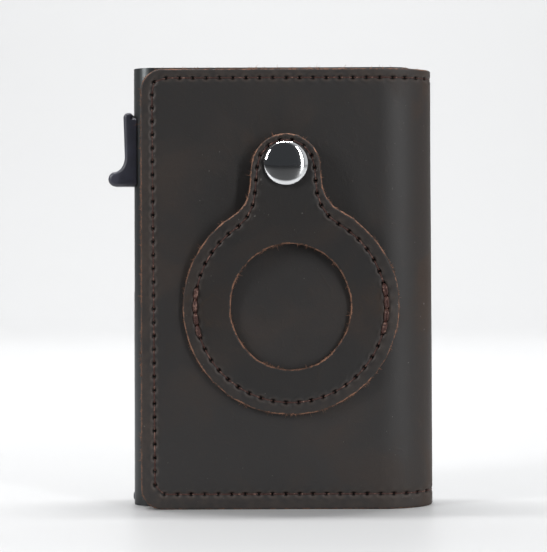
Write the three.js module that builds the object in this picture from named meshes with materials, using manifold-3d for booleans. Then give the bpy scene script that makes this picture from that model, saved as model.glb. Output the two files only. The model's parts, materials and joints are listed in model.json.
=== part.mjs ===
// A leather card wallet with a pop-up card case and a snap-closed pocket for a round tracker tag.
// The cover is one strip of leather folded round a spine: a back panel that carries the card case,
// and a front flap that carries the tracker pocket. X runs across the wallet, Y from front to back,
// Z up its height. The card case is mouth down, its thumb slider near the top of the free side.
import * as THREE from "three";
import { mergeVertices } from "three/addons/utils/BufferGeometryUtils.js";
import Module from "manifold-3d";

const wasm = await Module();
wasm.setup();
const DEGREE = Math.PI / 180;

// ---- Driving dimensions, in millimetres ----

// Cover
const HEIGHT = 100;
const FREE_EDGE = -30.3; // where the flap and the back panel end
const CORNER = 5;
const HALF_DEPTH = 8.9; // half the closed cover, measured over its leather
const SPINE_START = 23.9; // where the flat panels begin to round into the spine
const SPINE_REACH = 12.5; // how far the spine stands out past that
const FOLD_ANGLES = [20, 90, 160].map((degrees) => degrees * DEGREE);
const FOLD_GAP = 0.3;
const LEATHER = 1.4;
const LINING = 0.8;
const GLUE = 0.1; // the gap that bonded or sewn layers keep
const SEAM_INSET = { side: 3, top: 2.2, bottom: 3.4 };
const SEAM_BEND = 2.4;
const THREAD = 0.5;
const CHANNEL = { width: 1, depth: 0.65 }; // the groove that a panel's seam lies in
const CARD_POCKET_EDGES = { rear: 22, front: 13 }; // where the flap's inner pockets open, towards the spine
const MAGNET = { x: -22, radius: 4, heights: [32, 68] };

// Card case
const CASE_LEFT = -32.5;
const CASE_WIDTH = 64;
const CASE_DEPTH = 9.6;
const CASE_WALL = 0.9;
const CASE_RADIUS = 4.6;
const CASE_BOTTOM = 0.05; // the case's mouth, just above the cover's bottom edge
const CASE_TOP = 100.7;
const CARD_STOP = 88; // height at which the cards' inner ends rest
const CARD_COUNT = 5;
const STEP_RISE = 2;
const CAP_BAYS = { count: 5, rib: 1.6, bar: 1.4 };
const FELT = { x: [-23, 25], z: [4, 11], thickness: 0.6, corner: 1 };
const SPRING = { x: [8, 18], z: [24, 72], rise: 1.3, gauge: 0.25 };
const TAPE = { inset: 6, thickness: 0.5, corner: 2 };
const KEEPER = { reach: 5, overhang: 6, thickness: 0.4, corner: 2 }; // the steel plate that the magnets hold
const TRAVEL = 30; // stroke of the thumb slider, towards the mouth

// Thumb slider
const THUMB_BOTTOM = 73.4;
const THUMB_TOP = 90.5;
const THUMB_REACH = 5.8; // how far its nose stands out from the case
const STEM_REACH = 2.3;
const THUMB_WIDTH = 6.4;
const THUMB_EDGE = 0.9; // rounding of its edges
const NOSE_RADIUS = 1.72;
const NECK = { width: 2, bottom: 79.5, top: 84.5 };
const SLOT_WIDTH = 2.5;

// Tracker pocket, a keyhole outline: a ring joined to a tab by fillets
const RING = { x: 3.73, z: 45.87, radius: 24.4, seam: 21.65 };
const WINDOW = { halfWidth: 13.6, halfHeight: 14.25 };
const TAB = { x: 2.7, z: 77.2, radius: 7.8, seam: 6.45, taper: 5 * DEGREE };
const NECK_FILLET = { edge: 8.5, seam: 10.2 };
const TAB_LIFT = 2.8; // gap behind the tab where the snap holds it
const TAB_LEVEL = 69; // height above which the tab runs parallel to the flap
const SEWN_GAP = 0.15;
const BACKING_BOTTOM = 58;
const SNAP = { x: 2.72, z: 78.24, cap: 5, crown: 1.9, rim: 0.45, socket: 4.1 };
const SNAP_POST = { stud: 1.5, shank: 1.4, washer: 4 };

// ---- Colours and finishes ----

const finish = (color, roughness, metalness = 0) =>
  new THREE.MeshStandardMaterial({ color, roughness, metalness });
const materials = {
  leather: finish(0x34302d, 0.55),
  lining: finish(0x4a372c, 0.75),
  thread: finish(0x3a1f1b, 0.8),
  aluminium: finish(0x2a2d2f, 0.4, 0.8),
  plastic: finish(0x1d2024, 0.45),
  chrome: finish(0xd8dadb, 0.08, 1),
  steel: finish(0x9a9c9e, 0.3, 1),
  felt: finish(0x1b1b1c, 0.95),
  tape: finish(0xd9d4c6, 0.6),
};

// ---- Solids and booleans ----

const FAR = 60; // further than any piece reaches, for tools that cut right through
const THROUGH = [-FAR, FAR];

function solidOf(geometry) {
  const bare = geometry.index ? geometry.toNonIndexed() : geometry.clone();
  bare.deleteAttribute("normal");
  bare.deleteAttribute("uv");
  const merged = mergeVertices(bare, 1e-4);
  return new wasm.Manifold(
    new wasm.Mesh({
      numProp: 3,
      vertProperties: merged.attributes.position.array,
      triVerts: new Uint32Array(merged.index.array),
    }),
  );
}

function geometryOf(solid) {
  const mesh = solid.getMesh();
  const geometry = new THREE.BufferGeometry();
  geometry.setAttribute("position", new THREE.BufferAttribute(new Float32Array(mesh.vertProperties), 3));
  geometry.setIndex(new THREE.BufferAttribute(new Uint32Array(mesh.triVerts), 1));
  geometry.computeVertexNormals();
  return geometry;
}

const combine = (operation, first, rest) =>
  geometryOf(rest.reduce((solid, other) => solid[operation](solidOf(other)), solidOf(first)));
const cut = (body, ...tools) => combine("subtract", body, tools);
const join = (body, ...others) => combine("add", body, others);
const common = (body, ...others) => combine("intersect", body, others);

// ---- Basic shapes ----

function block([x0, x1], [y0, y1], [z0, z1]) {
  return new THREE.BoxGeometry(x1 - x0, y1 - y0, z1 - z0).translate(
    (x0 + x1) / 2,
    (y0 + y1) / 2,
    (z0 + z1) / 2,
  );
}

// A rectangle in a plane whose four corners are rounded, each by its own radius.
function roundedRectangle(x0, x1, y0, y1, radii) {
  const [lowLeft, lowRight, highRight, highLeft] = typeof radii === "number" ? Array(4).fill(radii) : radii;
  const shape = new THREE.Shape();
  shape.moveTo(x0 + lowLeft, y0);
  shape.lineTo(x1 - lowRight, y0);
  if (lowRight) shape.absarc(x1 - lowRight, y0 + lowRight, lowRight, -Math.PI / 2, 0);
  shape.lineTo(x1, y1 - highRight);
  if (highRight) shape.absarc(x1 - highRight, y1 - highRight, highRight, 0, Math.PI / 2);
  shape.lineTo(x0 + highLeft, y1);
  if (highLeft) shape.absarc(x0 + highLeft, y1 - highLeft, highLeft, Math.PI / 2, Math.PI);
  shape.lineTo(x0, y0 + lowLeft);
  if (lowLeft) shape.absarc(x0 + lowLeft, y0 + lowLeft, lowLeft, Math.PI, 1.5 * Math.PI);
  return shape;
}

// An outline drawn in X and Y, standing from z0 to z1.
function prism(shape, z0, z1, curveSegments = 8) {
  const options = { depth: z1 - z0, bevelEnabled: false, curveSegments };
  return new THREE.ExtrudeGeometry(shape, options).translate(0, 0, z0);
}

// An outline drawn in X and Z, as thick as from its front at y0 to its back at y1.
function sheet(shape, y0, y1, curveSegments = 12) {
  const options = { depth: y1 - y0, bevelEnabled: false, curveSegments };
  return new THREE.ExtrudeGeometry(shape, options).rotateX(Math.PI / 2).translate(0, y1, 0);
}

// An outline drawn in Y and Z, as wide as from x0 to x1.
function bar(points, x0, x1) {
  const shape = new THREE.Shape(points.map(([y, z]) => new THREE.Vector2(y, z)));
  const geometry = new THREE.ExtrudeGeometry(shape, { depth: x1 - x0, bevelEnabled: false });
  return geometry.rotateZ(Math.PI / 2).rotateY(Math.PI / 2).translate(x0, 0, 0);
}

// A turned piece whose axis runs along Y through (x, z). Its profile is [radius, y] pairs, front to back.
function turned(profile, x, z, segments = 24) {
  const points = profile.map(([radius, y]) => new THREE.Vector2(radius, y));
  return new THREE.LatheGeometry(points, segments).translate(x, 0, z);
}

const disc = (x, z, radius, y0, y1, segments = 20) =>
  turned([[0, y0], [radius, y0], [radius, y1], [0, y1]], x, z, segments);

// A round thread along points in space.
function thread(points, steps) {
  const section = new THREE.Shape();
  section.absarc(0, 0, THREAD / 2, 0, 2 * Math.PI);
  const path = new THREE.CatmullRomCurve3(points, false, "centripetal");
  return new THREE.ExtrudeGeometry(section, { steps, extrudePath: path, curveSegments: 3 });
}

const wallet = new THREE.Group();

function add(name, geometry, material) {
  const mesh = new THREE.Mesh(geometry, materials[material]);
  mesh.name = name;
  wallet.add(mesh);
}

// ---- The folded cover ----

// A point of the cover's cross-section: angle 0 is where the back panel meets the spine, 180 degrees
// where the flap does, on the half ellipse that lies inset below the outer face.
function spinePoint(angle, inset) {
  return [
    SPINE_START + (SPINE_REACH - inset) * Math.sin(angle),
    (HALF_DEPTH - inset) * Math.cos(angle),
  ];
}

// The change of angle that moves a point of the outer face by half the gap left at a fold.
function foldMargin(angle) {
  const speed = Math.hypot(SPINE_REACH * Math.cos(angle), HALF_DEPTH * Math.sin(angle));
  return FOLD_GAP / 2 / speed;
}

// One layer of the cover between two fold angles, as an outline in X and Y. A layer that starts at 0 or
// ends at 180 degrees carries on as the flat back panel or flap, out to the free edge.
function layerOutline(from, to, outer, inner) {
  const start = from > 0 ? from + foldMargin(from) : 0;
  const end = to < Math.PI ? to - foldMargin(to) : Math.PI;
  const steps = Math.max(3, Math.ceil((end - start) / (7 * DEGREE)));
  const line = (inset) => {
    const points = [];
    if (from === 0) points.push([FREE_EDGE, HALF_DEPTH - inset]);
    for (let i = 0; i <= steps; i++) points.push(spinePoint(start + ((end - start) * i) / steps, inset));
    if (to === Math.PI) points.push([FREE_EDGE, inset - HALF_DEPTH]);
    return points;
  };
  const points = [...line(outer), ...line(inner).reverse()];
  return new THREE.Shape(points.map(([x, y]) => new THREE.Vector2(x, y)));
}

const layer = (from, to, outer, thickness) =>
  prism(layerOutline(from, to, outer, outer + thickness), 0, HEIGHT);

// The cover's outline in X and Z, with its free corners rounded.
const coverOutline = () =>
  sheet(roundedRectangle(FREE_EDGE, FAR, 0, HEIGHT, [CORNER, 0, 0, CORNER]), ...THROUGH, 6);

const [BACK_FOLD, MIDDLE_FOLD, FLAP_FOLD] = FOLD_ANGLES;
const LINING_INSET = LEATHER + GLUE;
const FLAP_FACE = -HALF_DEPTH;
const BACK_FACE = HALF_DEPTH;

// The line that the seam of the flap and of the back panel follows, in X and Z.
const SEAM = {
  left: FREE_EDGE + SEAM_INSET.side,
  right: SPINE_START,
  low: SEAM_INSET.bottom,
  high: HEIGHT - SEAM_INSET.top,
};

// The U-shaped channel that a panel's seam lies in, between two depths. It ends where the spine begins.
function seamChannel(y0, y1) {
  const side = CHANNEL.width / 2;
  const outline = (reach, right) => {
    const corner = SEAM_BEND + reach;
    const radii = [corner, 0, 0, corner];
    return roundedRectangle(SEAM.left - reach, right, SEAM.low - reach, SEAM.high + reach, radii);
  };
  const end = SEAM.right + FOLD_GAP;
  return cut(sheet(outline(side, end), y0, y1, 4), sheet(outline(-side, FAR), y0 - 1, y1 + 1, 4));
}

function addBackPanel() {
  const leather = common(layer(0, BACK_FOLD, 0, LEATHER), coverOutline());
  add("back_leather", cut(leather, seamChannel(BACK_FACE - CHANNEL.depth, BACK_FACE + 1)), "leather");
  add("back_lining", common(layer(0, BACK_FOLD, LINING_INSET, LINING), coverOutline()), "lining");
}

function addSpine() {
  add("spine_leather_back", layer(BACK_FOLD, MIDDLE_FOLD, 0, LEATHER), "leather");
  add("spine_leather_front", layer(MIDDLE_FOLD, FLAP_FOLD, 0, LEATHER), "leather");
  add("spine_lining_back", layer(BACK_FOLD, MIDDLE_FOLD, LINING_INSET, LINING), "lining");
  add("spine_lining_front", layer(MIDDLE_FOLD, FLAP_FOLD, LINING_INSET, LINING), "lining");
}

// ---- The flap with its inner card pockets and magnets ----

const LINING_FRONT = FLAP_FACE + LINING_INSET;
const REAR_POCKET_FRONT = LINING_FRONT + LINING + GLUE;
const FRONT_POCKET_FRONT = REAR_POCKET_FRONT + LINING + GLUE;
const FIT = 0.2; // room round a piece that is set into a hole

function addFlap() {
  const leather = common(layer(FLAP_FOLD, Math.PI, 0, LEATHER), coverOutline());
  const studHole = disc(SNAP.x, SNAP.z, SNAP_POST.shank + FIT, FLAP_FACE - 1, FLAP_FACE + 3);
  const channel = seamChannel(FLAP_FACE - 1, FLAP_FACE + CHANNEL.depth);
  add("flap_leather", cut(leather, studHole, channel), "leather");

  const lining = common(layer(FLAP_FOLD, Math.PI, LINING_INSET, LINING), coverOutline());
  const recess = (x, z, radius) => disc(x, z, radius + FIT, LINING_FRONT - 1, LINING_FRONT + LINING + 1);
  const magnetRecesses = MAGNET.heights.map((z) => recess(MAGNET.x, z, MAGNET.radius));
  add("flap_lining", cut(lining, recess(SNAP.x, SNAP.z, SNAP_POST.washer), ...magnetRecesses), "lining");

  // The card pockets are open on the side that faces the spine.
  const pocket = (front, openEdge) =>
    sheet(roundedRectangle(FREE_EDGE, openEdge, 0, HEIGHT, [CORNER, 0, 0, CORNER]), front, front + LINING, 6);
  add("card_pocket_rear", pocket(REAR_POCKET_FRONT, CARD_POCKET_EDGES.rear), "lining");
  add("card_pocket_front", pocket(FRONT_POCKET_FRONT, CARD_POCKET_EDGES.front), "lining");

  ["lower", "upper"].forEach((place, i) => {
    const magnet = disc(MAGNET.x, MAGNET.heights[i], MAGNET.radius, LINING_FRONT, LINING_FRONT + LINING);
    add(`flap_magnet_${place}`, magnet, "steel");
  });
}

// ---- The card case ----

const CASE_RIGHT = CASE_LEFT + CASE_WIDTH;
const CASE_BACK = HALF_DEPTH - LINING_INSET - LINING - GLUE - TAPE.thickness - GLUE;
const CASE_FRONT = CASE_BACK - CASE_DEPTH;
const CASE_MIDDLE = (CASE_FRONT + CASE_BACK) / 2;
const RAIL_FACE = CASE_LEFT + 4.6; // the side of the guide rail that the cards slide past
const RAIL_CLEARANCE = 0.12;
const NUB = { z: 1.8, radius: 1.1, reach: 0.3 }; // the rail's catch, seen in the case's side
const PUSHER_TOP = 98.2;
const PUSHER_RIGHT = -20.6;
const CARRIAGE_BOTTOM = NECK.bottom - 1.5;
const SLOT_ROOM = 0.5; // how much longer than the stroke the slot and the groove are, at each end

// The case's cross-section, grown outwards by an offset that is negative for what lies inside it.
const caseSection = (offset) =>
  roundedRectangle(
    CASE_LEFT - offset,
    CASE_RIGHT + offset,
    CASE_FRONT - offset,
    CASE_BACK + offset,
    CASE_RADIUS + offset,
  );
const aroundMiddle = (width) => [CASE_MIDDLE - width / 2, CASE_MIDDLE + width / 2];
const INNER_DEPTH = CASE_DEPTH - 2 * CASE_WALL;

// A round bar along X through the case's side wall, ending in a dome.
function sideNub(radius, xOuter, xInner) {
  const dome = radius / 3;
  const length = xInner - xOuter;
  const profile = [[0, 0], [radius * 0.6, dome * 0.25], [radius, dome], [radius, length], [0, length]];
  return turned(profile, 0, 0, 20)
    .rotateZ(-Math.PI / 2)
    .translate(xOuter, CASE_MIDDLE, NUB.z);
}

function addCaseShell() {
  const section = caseSection(0);
  section.holes.push(caseSection(-CASE_WALL));
  const tube = prism(section, CASE_BOTTOM, CASE_TOP);
  const slotEnds = [NECK.bottom - TRAVEL - SLOT_ROOM, NECK.top + SLOT_ROOM];
  const slot = block([CASE_LEFT - 2, CASE_LEFT + 3], aroundMiddle(SLOT_WIDTH), slotEnds);
  const window = sideNub(NUB.radius + FIT, CASE_LEFT - 2, CASE_LEFT + 2);
  add("case_shell", cut(tube, slot, window), "aluminium");
}

// The plug that closes the case's top end, with an open frame below it whose lower bar stops the cards.
function addEndCap() {
  const clear = 0.4;
  const plug = prism(caseSection(-CASE_WALL - RAIL_CLEARANCE), PUSHER_TOP + clear, CASE_TOP);
  const [left, right] = [PUSHER_RIGHT + clear, CASE_RIGHT - 4];
  const frame = block([left, right], aroundMiddle(INNER_DEPTH - 0.6), [CARD_STOP, PUSHER_TOP + 1]);
  const { count, rib, bar: lowerBar } = CAP_BAYS;
  const pitch = (right - left - rib) / count;
  const bays = Array.from({ length: count }, (_, i) => {
    const x = left + rib + i * pitch;
    return block([x, x + pitch - rib], THROUGH, [CARD_STOP + lowerBar, PUSHER_TOP + clear / 2]);
  });
  add("case_end_cap", join(cut(frame, ...bays), plug), "plastic");
}

// The rail that fills the case's slotted side: the slider's neck runs in its groove, and a nub at its
// lower end snaps into the window in the case wall.
function addGuideRail() {
  const inner = prism(caseSection(-CASE_WALL - RAIL_CLEARANCE), CASE_BOTTOM + 0.3, PUSHER_TOP);
  const beyond = block([RAIL_FACE, FAR], THROUGH, [-5, HEIGHT + 5]);
  const grooveEnds = [CARRIAGE_BOTTOM - TRAVEL - SLOT_ROOM, HEIGHT + 5];
  const groove = block([CASE_LEFT - 2, CASE_RIGHT], aroundMiddle(3), grooveEnds);
  const nub = sideNub(NUB.radius, CASE_LEFT - NUB.reach, CASE_LEFT + 2);
  add("guide_rail", join(cut(inner, beyond, groove), nub), "plastic");
}

function addCardBrake() {
  const innerFront = CASE_FRONT + CASE_WALL;
  const innerBack = CASE_BACK - CASE_WALL;
  const strip = roundedRectangle(...FELT.x, ...FELT.z, FELT.corner);
  const felt = (y0) => sheet(strip, y0, y0 + FELT.thickness, 3);
  add("felt_strip_front", felt(innerFront + GLUE), "felt");
  add("felt_strip_back", felt(innerBack - GLUE - FELT.thickness), "felt");

  // A leaf spring on the back wall, bowed towards the cards.
  const { z: [low, high], rise, gauge } = SPRING;
  const steps = 12;
  const bow = (thickness) =>
    Array.from({ length: steps + 1 }, (_, i) => {
      const share = i / steps;
      const y = innerBack - GLUE - gauge - rise * Math.sin(Math.PI * share) ** 2 + thickness;
      return [y, low + (high - low) * share];
    });
  add("card_brake_spring", bar([...bow(0), ...bow(gauge).reverse()], ...SPRING.x), "steel");
}

function addCaseFixings() {
  const { inset, thickness } = TAPE;
  const tape = roundedRectangle(CASE_LEFT + inset, CASE_RIGHT - inset, inset, HEIGHT - inset, TAPE.corner);
  add("mounting_tape", sheet(tape, CASE_BACK + GLUE, CASE_BACK + GLUE + thickness, 3), "tape");

  const [lowest, highest] = [MAGNET.heights[0] - KEEPER.overhang, MAGNET.heights[1] + KEEPER.overhang];
  const sides = [MAGNET.x - KEEPER.reach, MAGNET.x + KEEPER.reach];
  const keeper = roundedRectangle(...sides, lowest, highest, KEEPER.corner);
  const keeperBack = CASE_FRONT - GLUE;
  add("keeper_plate", sheet(keeper, keeperBack - KEEPER.thickness, keeperBack, 3), "steel");
}

// ---- The ejector ----

// The slider's grip in X and Z: a round nose at the bottom, a hollow sweep up from it, and a thin stem with
// a round top.
function thumbOutline() {
  const noseX = CASE_LEFT - THUMB_REACH + NOSE_RADIUS;
  const buried = CASE_LEFT + 2.5;
  const stemRound = STEM_REACH / 2;
  const shape = new THREE.Shape();
  shape.moveTo(buried, THUMB_BOTTOM);
  shape.lineTo(noseX, THUMB_BOTTOM);
  shape.absarc(noseX, THUMB_BOTTOM + NOSE_RADIUS, NOSE_RADIUS, 1.5 * Math.PI, Math.PI / 2, true);
  shape.quadraticCurveTo(CASE_LEFT - 2.3, THUMB_BOTTOM + 4, CASE_LEFT - 2, THUMB_BOTTOM + 6.6);
  shape.lineTo(CASE_LEFT - STEM_REACH, THUMB_TOP - stemRound);
  shape.absarc(CASE_LEFT - stemRound, THUMB_TOP - stemRound, stemRound, Math.PI, 0, true);
  shape.lineTo(buried, THUMB_TOP - stemRound);
  return shape;
}

function addEjector() {
  const grip = new THREE.ExtrudeGeometry(thumbOutline(), {
    depth: THUMB_WIDTH - 2 * THUMB_EDGE,
    bevelThickness: THUMB_EDGE,
    bevelSize: THUMB_EDGE,
    bevelOffset: -THUMB_EDGE,
    bevelSegments: 5,
    curveSegments: 12,
  })
    .rotateX(Math.PI / 2)
    .translate(0, CASE_MIDDLE + THUMB_WIDTH / 2 - THUMB_EDGE, 0);
  const hollow = prism(caseSection(0.25), 0, 2 * HEIGHT, 16);
  const neck = block([CASE_LEFT - 1.2, CASE_LEFT + 3.2], aroundMiddle(NECK.width), [NECK.bottom, NECK.top]);
  add("thumb_slider", join(cut(grip, hollow), neck), "plastic");

  // The pusher: a carriage in the rail's groove, notched to take the neck, and a flight of steps that
  // lifts each card a little further than the next.
  const armX = [CASE_LEFT + 1.4, RAIL_FACE + 1];
  const arm = block(armX, aroundMiddle(2.4), [CARRIAGE_BOTTOM, PUSHER_TOP - 0.4]);
  const notch = block([CASE_LEFT, CASE_LEFT + 3.3], THROUGH, [NECK.bottom - GLUE, NECK.top + GLUE]);
  const flight = bar(flightOutline(), RAIL_FACE + 0.4, PUSHER_RIGHT);
  add("card_pusher", join(cut(arm, notch), flight), "plastic");
}

// The stepped lower end of the pusher, one tread for each card.
function flightOutline() {
  const [front, back] = aroundMiddle(INNER_DEPTH - 0.8);
  const tread = (back - front) / CARD_COUNT;
  const points = [[front, PUSHER_TOP]];
  for (let i = 0; i < CARD_COUNT; i++) {
    const z = CARD_STOP + 0.2 + i * STEP_RISE;
    points.push([front + i * tread, z], [front + (i + 1) * tread, z]);
  }
  points.push([back, PUSHER_TOP]);
  return points;
}

// ---- The tracker pocket ----

// The keyhole outline for a ring and tab of given radii. The tab's sides leave its round top on a slight
// taper, and fillets join them to the ring.
function keyhole(ringRadius, tabRadius, fillet) {
  const [left, right] = [-1, 1].map((side) => {
    const normal = new THREE.Vector2(side * Math.cos(TAB.taper), Math.sin(TAB.taper));
    const down = new THREE.Vector2(side * Math.sin(TAB.taper), -Math.cos(TAB.taper));
    const tabCentre = new THREE.Vector2(TAB.x - RING.x, TAB.z - RING.z);
    const start = tabCentre.addScaledVector(normal, tabRadius + fillet);
    const along = start.dot(down);
    const reach = ringRadius + fillet;
    const distance = Math.sqrt(along ** 2 - start.lengthSq() + reach ** 2);
    const centre = start.addScaledVector(down, -along - distance);
    return { x: RING.x + centre.x, z: RING.z + centre.y, angle: centre.angle() };
  });
  const shape = new THREE.Shape();
  shape.absarc(TAB.x, TAB.z, tabRadius, TAB.taper, Math.PI - TAB.taper);
  shape.absarc(left.x, left.z, fillet, -TAB.taper, left.angle - Math.PI, true);
  shape.absarc(RING.x, RING.z, ringRadius, left.angle, right.angle + 2 * Math.PI);
  shape.absarc(right.x, right.z, fillet, right.angle + Math.PI, Math.PI + TAB.taper, true);
  return shape;
}

// How far the pocket's leather stands off the flap at a height: sewn flat below, lifted to the snap.
function lift(z) {
  const share = THREE.MathUtils.smoothstep(z, RING.z, TAB_LEVEL);
  return SEWN_GAP + (TAB_LIFT - SEWN_GAP) * share;
}

// A sheet across the pocket between two heights that follows its lift, from front to back offsets that
// are measured behind the leather's front face.
function liftedSheet(bottom, top, front, back) {
  const steps = 14;
  const face = (offset) =>
    Array.from({ length: steps + 1 }, (_, i) => {
      const z = bottom + ((top - bottom) * i) / steps;
      return [FLAP_FACE - lift(z) - LEATHER + offset, z];
    });
  return bar([...face(front), ...face(back).reverse()], ...THROUGH);
}

const SPLIT = FOLD_GAP / 2;
const pocketFace = (z) => FLAP_FACE - lift(z) - LEATHER;

function addTrackerPocket() {
  const outline = keyhole(RING.radius, TAB.radius, NECK_FILLET.edge);
  const opening = new THREE.Path();
  opening.absellipse(RING.x, RING.z, WINDOW.halfWidth, WINDOW.halfHeight, 0, 2 * Math.PI);
  outline.holes.push(opening);
  const blank = sheet(outline, ...THROUGH, 18);
  const shankHole = disc(SNAP.x, SNAP.z, SNAP_POST.shank + FIT, ...THROUGH);

  const lower = liftedSheet(0, RING.z - SPLIT, 0, LEATHER);
  add("tracker_pocket_front", common(blank, lower), "leather");
  const upper = liftedSheet(RING.z + SPLIT, HEIGHT, 0, LEATHER);
  add("tracker_tab_leather", cut(common(blank, upper), shankHole), "leather");
  const backing = liftedSheet(BACKING_BOTTOM, HEIGHT, LEATHER + GLUE, LEATHER + GLUE + LINING);
  add("tracker_tab_backing", cut(common(blank, backing), shankHole), "lining");
}

// The cap's dome as [radius, y] pairs: part of an ellipse that curls down to the rim.
function domeProfile(tabFace) {
  const { cap, crown, rim } = SNAP;
  const curl = 0.35;
  const steps = 7;
  return Array.from({ length: steps + 1 }, (_, i) => {
    const angle = (i / steps) * 0.5 * Math.PI;
    const radius = (cap - curl) * Math.sin(angle) + curl * Math.sin(angle) ** 6;
    return [radius, tabFace - rim - (crown - rim) * Math.cos(angle)];
  });
}

function addSnap() {
  const { x, z, cap, socket } = SNAP;
  const { stud, shank, washer } = SNAP_POST;
  const tabFace = pocketFace(HEIGHT);
  const tabBack = tabFace + LEATHER + GLUE + LINING;
  const shankEnd = tabBack + 0.6;
  const foot = [[cap, tabFace - GLUE], [shank, tabFace - GLUE], [shank, shankEnd], [0, shankEnd]];
  add("snap_cap", turned([...domeProfile(tabFace), ...foot], x, z), "chrome");

  // The socket grips the stud's head and is clenched on the cap's shank.
  const [socketFront, socketBack] = [tabBack + GLUE, tabBack + GLUE + 1.2];
  const grip = stud + 0.3;
  const chamfer = 0.5;
  const outside = [[socket, socketFront], [socket, socketBack - chamfer], [socket - chamfer, socketBack]];
  const ring = [[grip, socketFront], ...outside, [grip, socketBack], [grip, socketFront]];
  add("snap_socket", turned(ring, x, z), "steel");

  const flange = FLAP_FACE - GLUE;
  const neck = flange - 0.35;
  const studTip = Math.max(flange - 1.1, shankEnd + GLUE);
  const head = [[0, studTip], [stud * 0.7, studTip], [stud, studTip + 0.3], [stud * 0.8, neck]];
  add("snap_stud", turned([...head, [3.6, neck], [3.8, flange], [0, flange]], x, z), "steel");

  const postFront = flange + 2 * GLUE;
  const washerBack = LINING_FRONT + 0.5;
  const post = [[0, postFront], [shank, postFront], [shank, LINING_FRONT], [washer, LINING_FRONT]];
  add("snap_post", turned([...post, [washer, washerBack], [0, washerBack]], x, z), "steel");
}

// ---- Seams ----

const STAND_OFF = GLUE + THREAD / 2;
const SUNK = THREAD / 2 + 0.05;

// The seam that runs round the free edge of a panel, at a depth y.
function panelSeam(y) {
  const [left, right] = [SEAM.left, SEAM.right];
  const [low, high] = [SEAM.low, SEAM.high];
  const bend = SEAM_BEND;
  const corner = (x, z, start) =>
    Array.from({ length: 5 }, (_, i) => {
      const angle = start + (i * Math.PI) / 8;
      return new THREE.Vector3(x + bend * Math.cos(angle), y, z + bend * Math.sin(angle));
    });
  const straight = (a, b, count) =>
    Array.from({ length: count }, (_, i) => new THREE.Vector3().lerpVectors(a, b, (i + 1) / (count + 1)));
  const ends = [new THREE.Vector3(right, y, high), new THREE.Vector3(right, y, low)];
  const top = corner(left + bend, high - bend, Math.PI / 2);
  const bottom = corner(left + bend, low + bend, Math.PI);
  return thread(
    [
      ends[0],
      ...straight(ends[0], top[0], 6),
      ...top,
      ...straight(top[4], bottom[0], 10),
      ...bottom,
      ...straight(bottom[4], ends[1], 6),
      ends[1],
    ],
    100,
  );
}

// The pocket's seam follows the keyhole inside its edge. It is cut where the tab folds.
function addPocketSeams() {
  const outline = keyhole(RING.seam, TAB.seam, NECK_FILLET.seam);
  const onFace = ({ x, y: z }) => new THREE.Vector3(x, pocketFace(z) - STAND_OFF, z);
  const points = outline.getSpacedPoints(160).map(onFace);
  const isUpper = ({ z }) => z > RING.z + SPLIT;
  const lower = points.filter(({ z }) => z < RING.z - SPLIT);
  const firstLower = points.findIndex((point) => !isUpper(point));
  const beforeFold = points.slice(0, firstLower).filter(isUpper);
  const afterFold = points.slice(firstLower).filter(isUpper);
  afterFold.pop(); // the outline's last point repeats its first
  add("tracker_pocket_thread", thread(lower, 44), "thread");
  add("tracker_tab_thread", thread([...afterFold, ...beforeFold], 72), "thread");
}

function addSeams() {
  add("flap_thread", panelSeam(FLAP_FACE + SUNK), "thread");
  add("back_thread", panelSeam(BACK_FACE - SUNK), "thread");
  addPocketSeams();
}

addBackPanel();
addSpine();
addFlap();
addCaseShell();
addEndCap();
addGuideRail();
addCardBrake();
addCaseFixings();
addEjector();
addTrackerPocket();
addSnap();
addSeams();

// The part's origin is the middle of its footprint, at the height of its lowest edge.
const bounds = new THREE.Box3().setFromObject(wallet);
const middle = bounds.getCenter(new THREE.Vector3());
wallet.position.set(-middle.x, -middle.y, -bounds.min.z);

export default wallet;
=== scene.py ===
import json
import math

import bmesh
import bpy
import numpy as np
from bpy.props import FloatProperty, FloatVectorProperty, IntProperty, PointerProperty
from mathutils import Euler, Matrix, Vector

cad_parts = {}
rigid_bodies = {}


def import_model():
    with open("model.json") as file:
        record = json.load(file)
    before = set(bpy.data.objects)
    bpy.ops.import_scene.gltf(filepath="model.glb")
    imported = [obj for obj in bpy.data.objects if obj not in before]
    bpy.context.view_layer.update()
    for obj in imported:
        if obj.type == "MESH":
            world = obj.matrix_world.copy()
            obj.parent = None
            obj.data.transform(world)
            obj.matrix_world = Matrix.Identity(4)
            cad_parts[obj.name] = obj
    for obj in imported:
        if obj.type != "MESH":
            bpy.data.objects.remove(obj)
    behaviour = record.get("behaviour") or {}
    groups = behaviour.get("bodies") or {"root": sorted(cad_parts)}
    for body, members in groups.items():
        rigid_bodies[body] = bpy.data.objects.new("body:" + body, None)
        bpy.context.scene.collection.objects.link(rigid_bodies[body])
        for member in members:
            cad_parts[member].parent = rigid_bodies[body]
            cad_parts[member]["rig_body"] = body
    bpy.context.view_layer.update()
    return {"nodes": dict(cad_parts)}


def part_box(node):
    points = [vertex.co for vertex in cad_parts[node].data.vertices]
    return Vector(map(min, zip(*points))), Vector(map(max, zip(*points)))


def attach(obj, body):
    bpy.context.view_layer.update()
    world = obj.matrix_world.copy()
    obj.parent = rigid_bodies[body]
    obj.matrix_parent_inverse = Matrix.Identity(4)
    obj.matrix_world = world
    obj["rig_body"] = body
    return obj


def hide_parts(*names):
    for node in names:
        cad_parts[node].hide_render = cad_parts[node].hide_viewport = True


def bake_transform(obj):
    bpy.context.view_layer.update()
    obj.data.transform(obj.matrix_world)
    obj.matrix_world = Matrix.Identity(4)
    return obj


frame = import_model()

bl_info = {
    "name": "Leather Card Wallet",
    "version": (1, 0, 0),
    "blender": (4, 5, 0),
    "location": "View3D > Sidebar > Card Wallet",
    "description": "Builds a leather card wallet with a pop-up card case and a snap-closed tracker pocket",
    "category": "Object",
}

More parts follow.
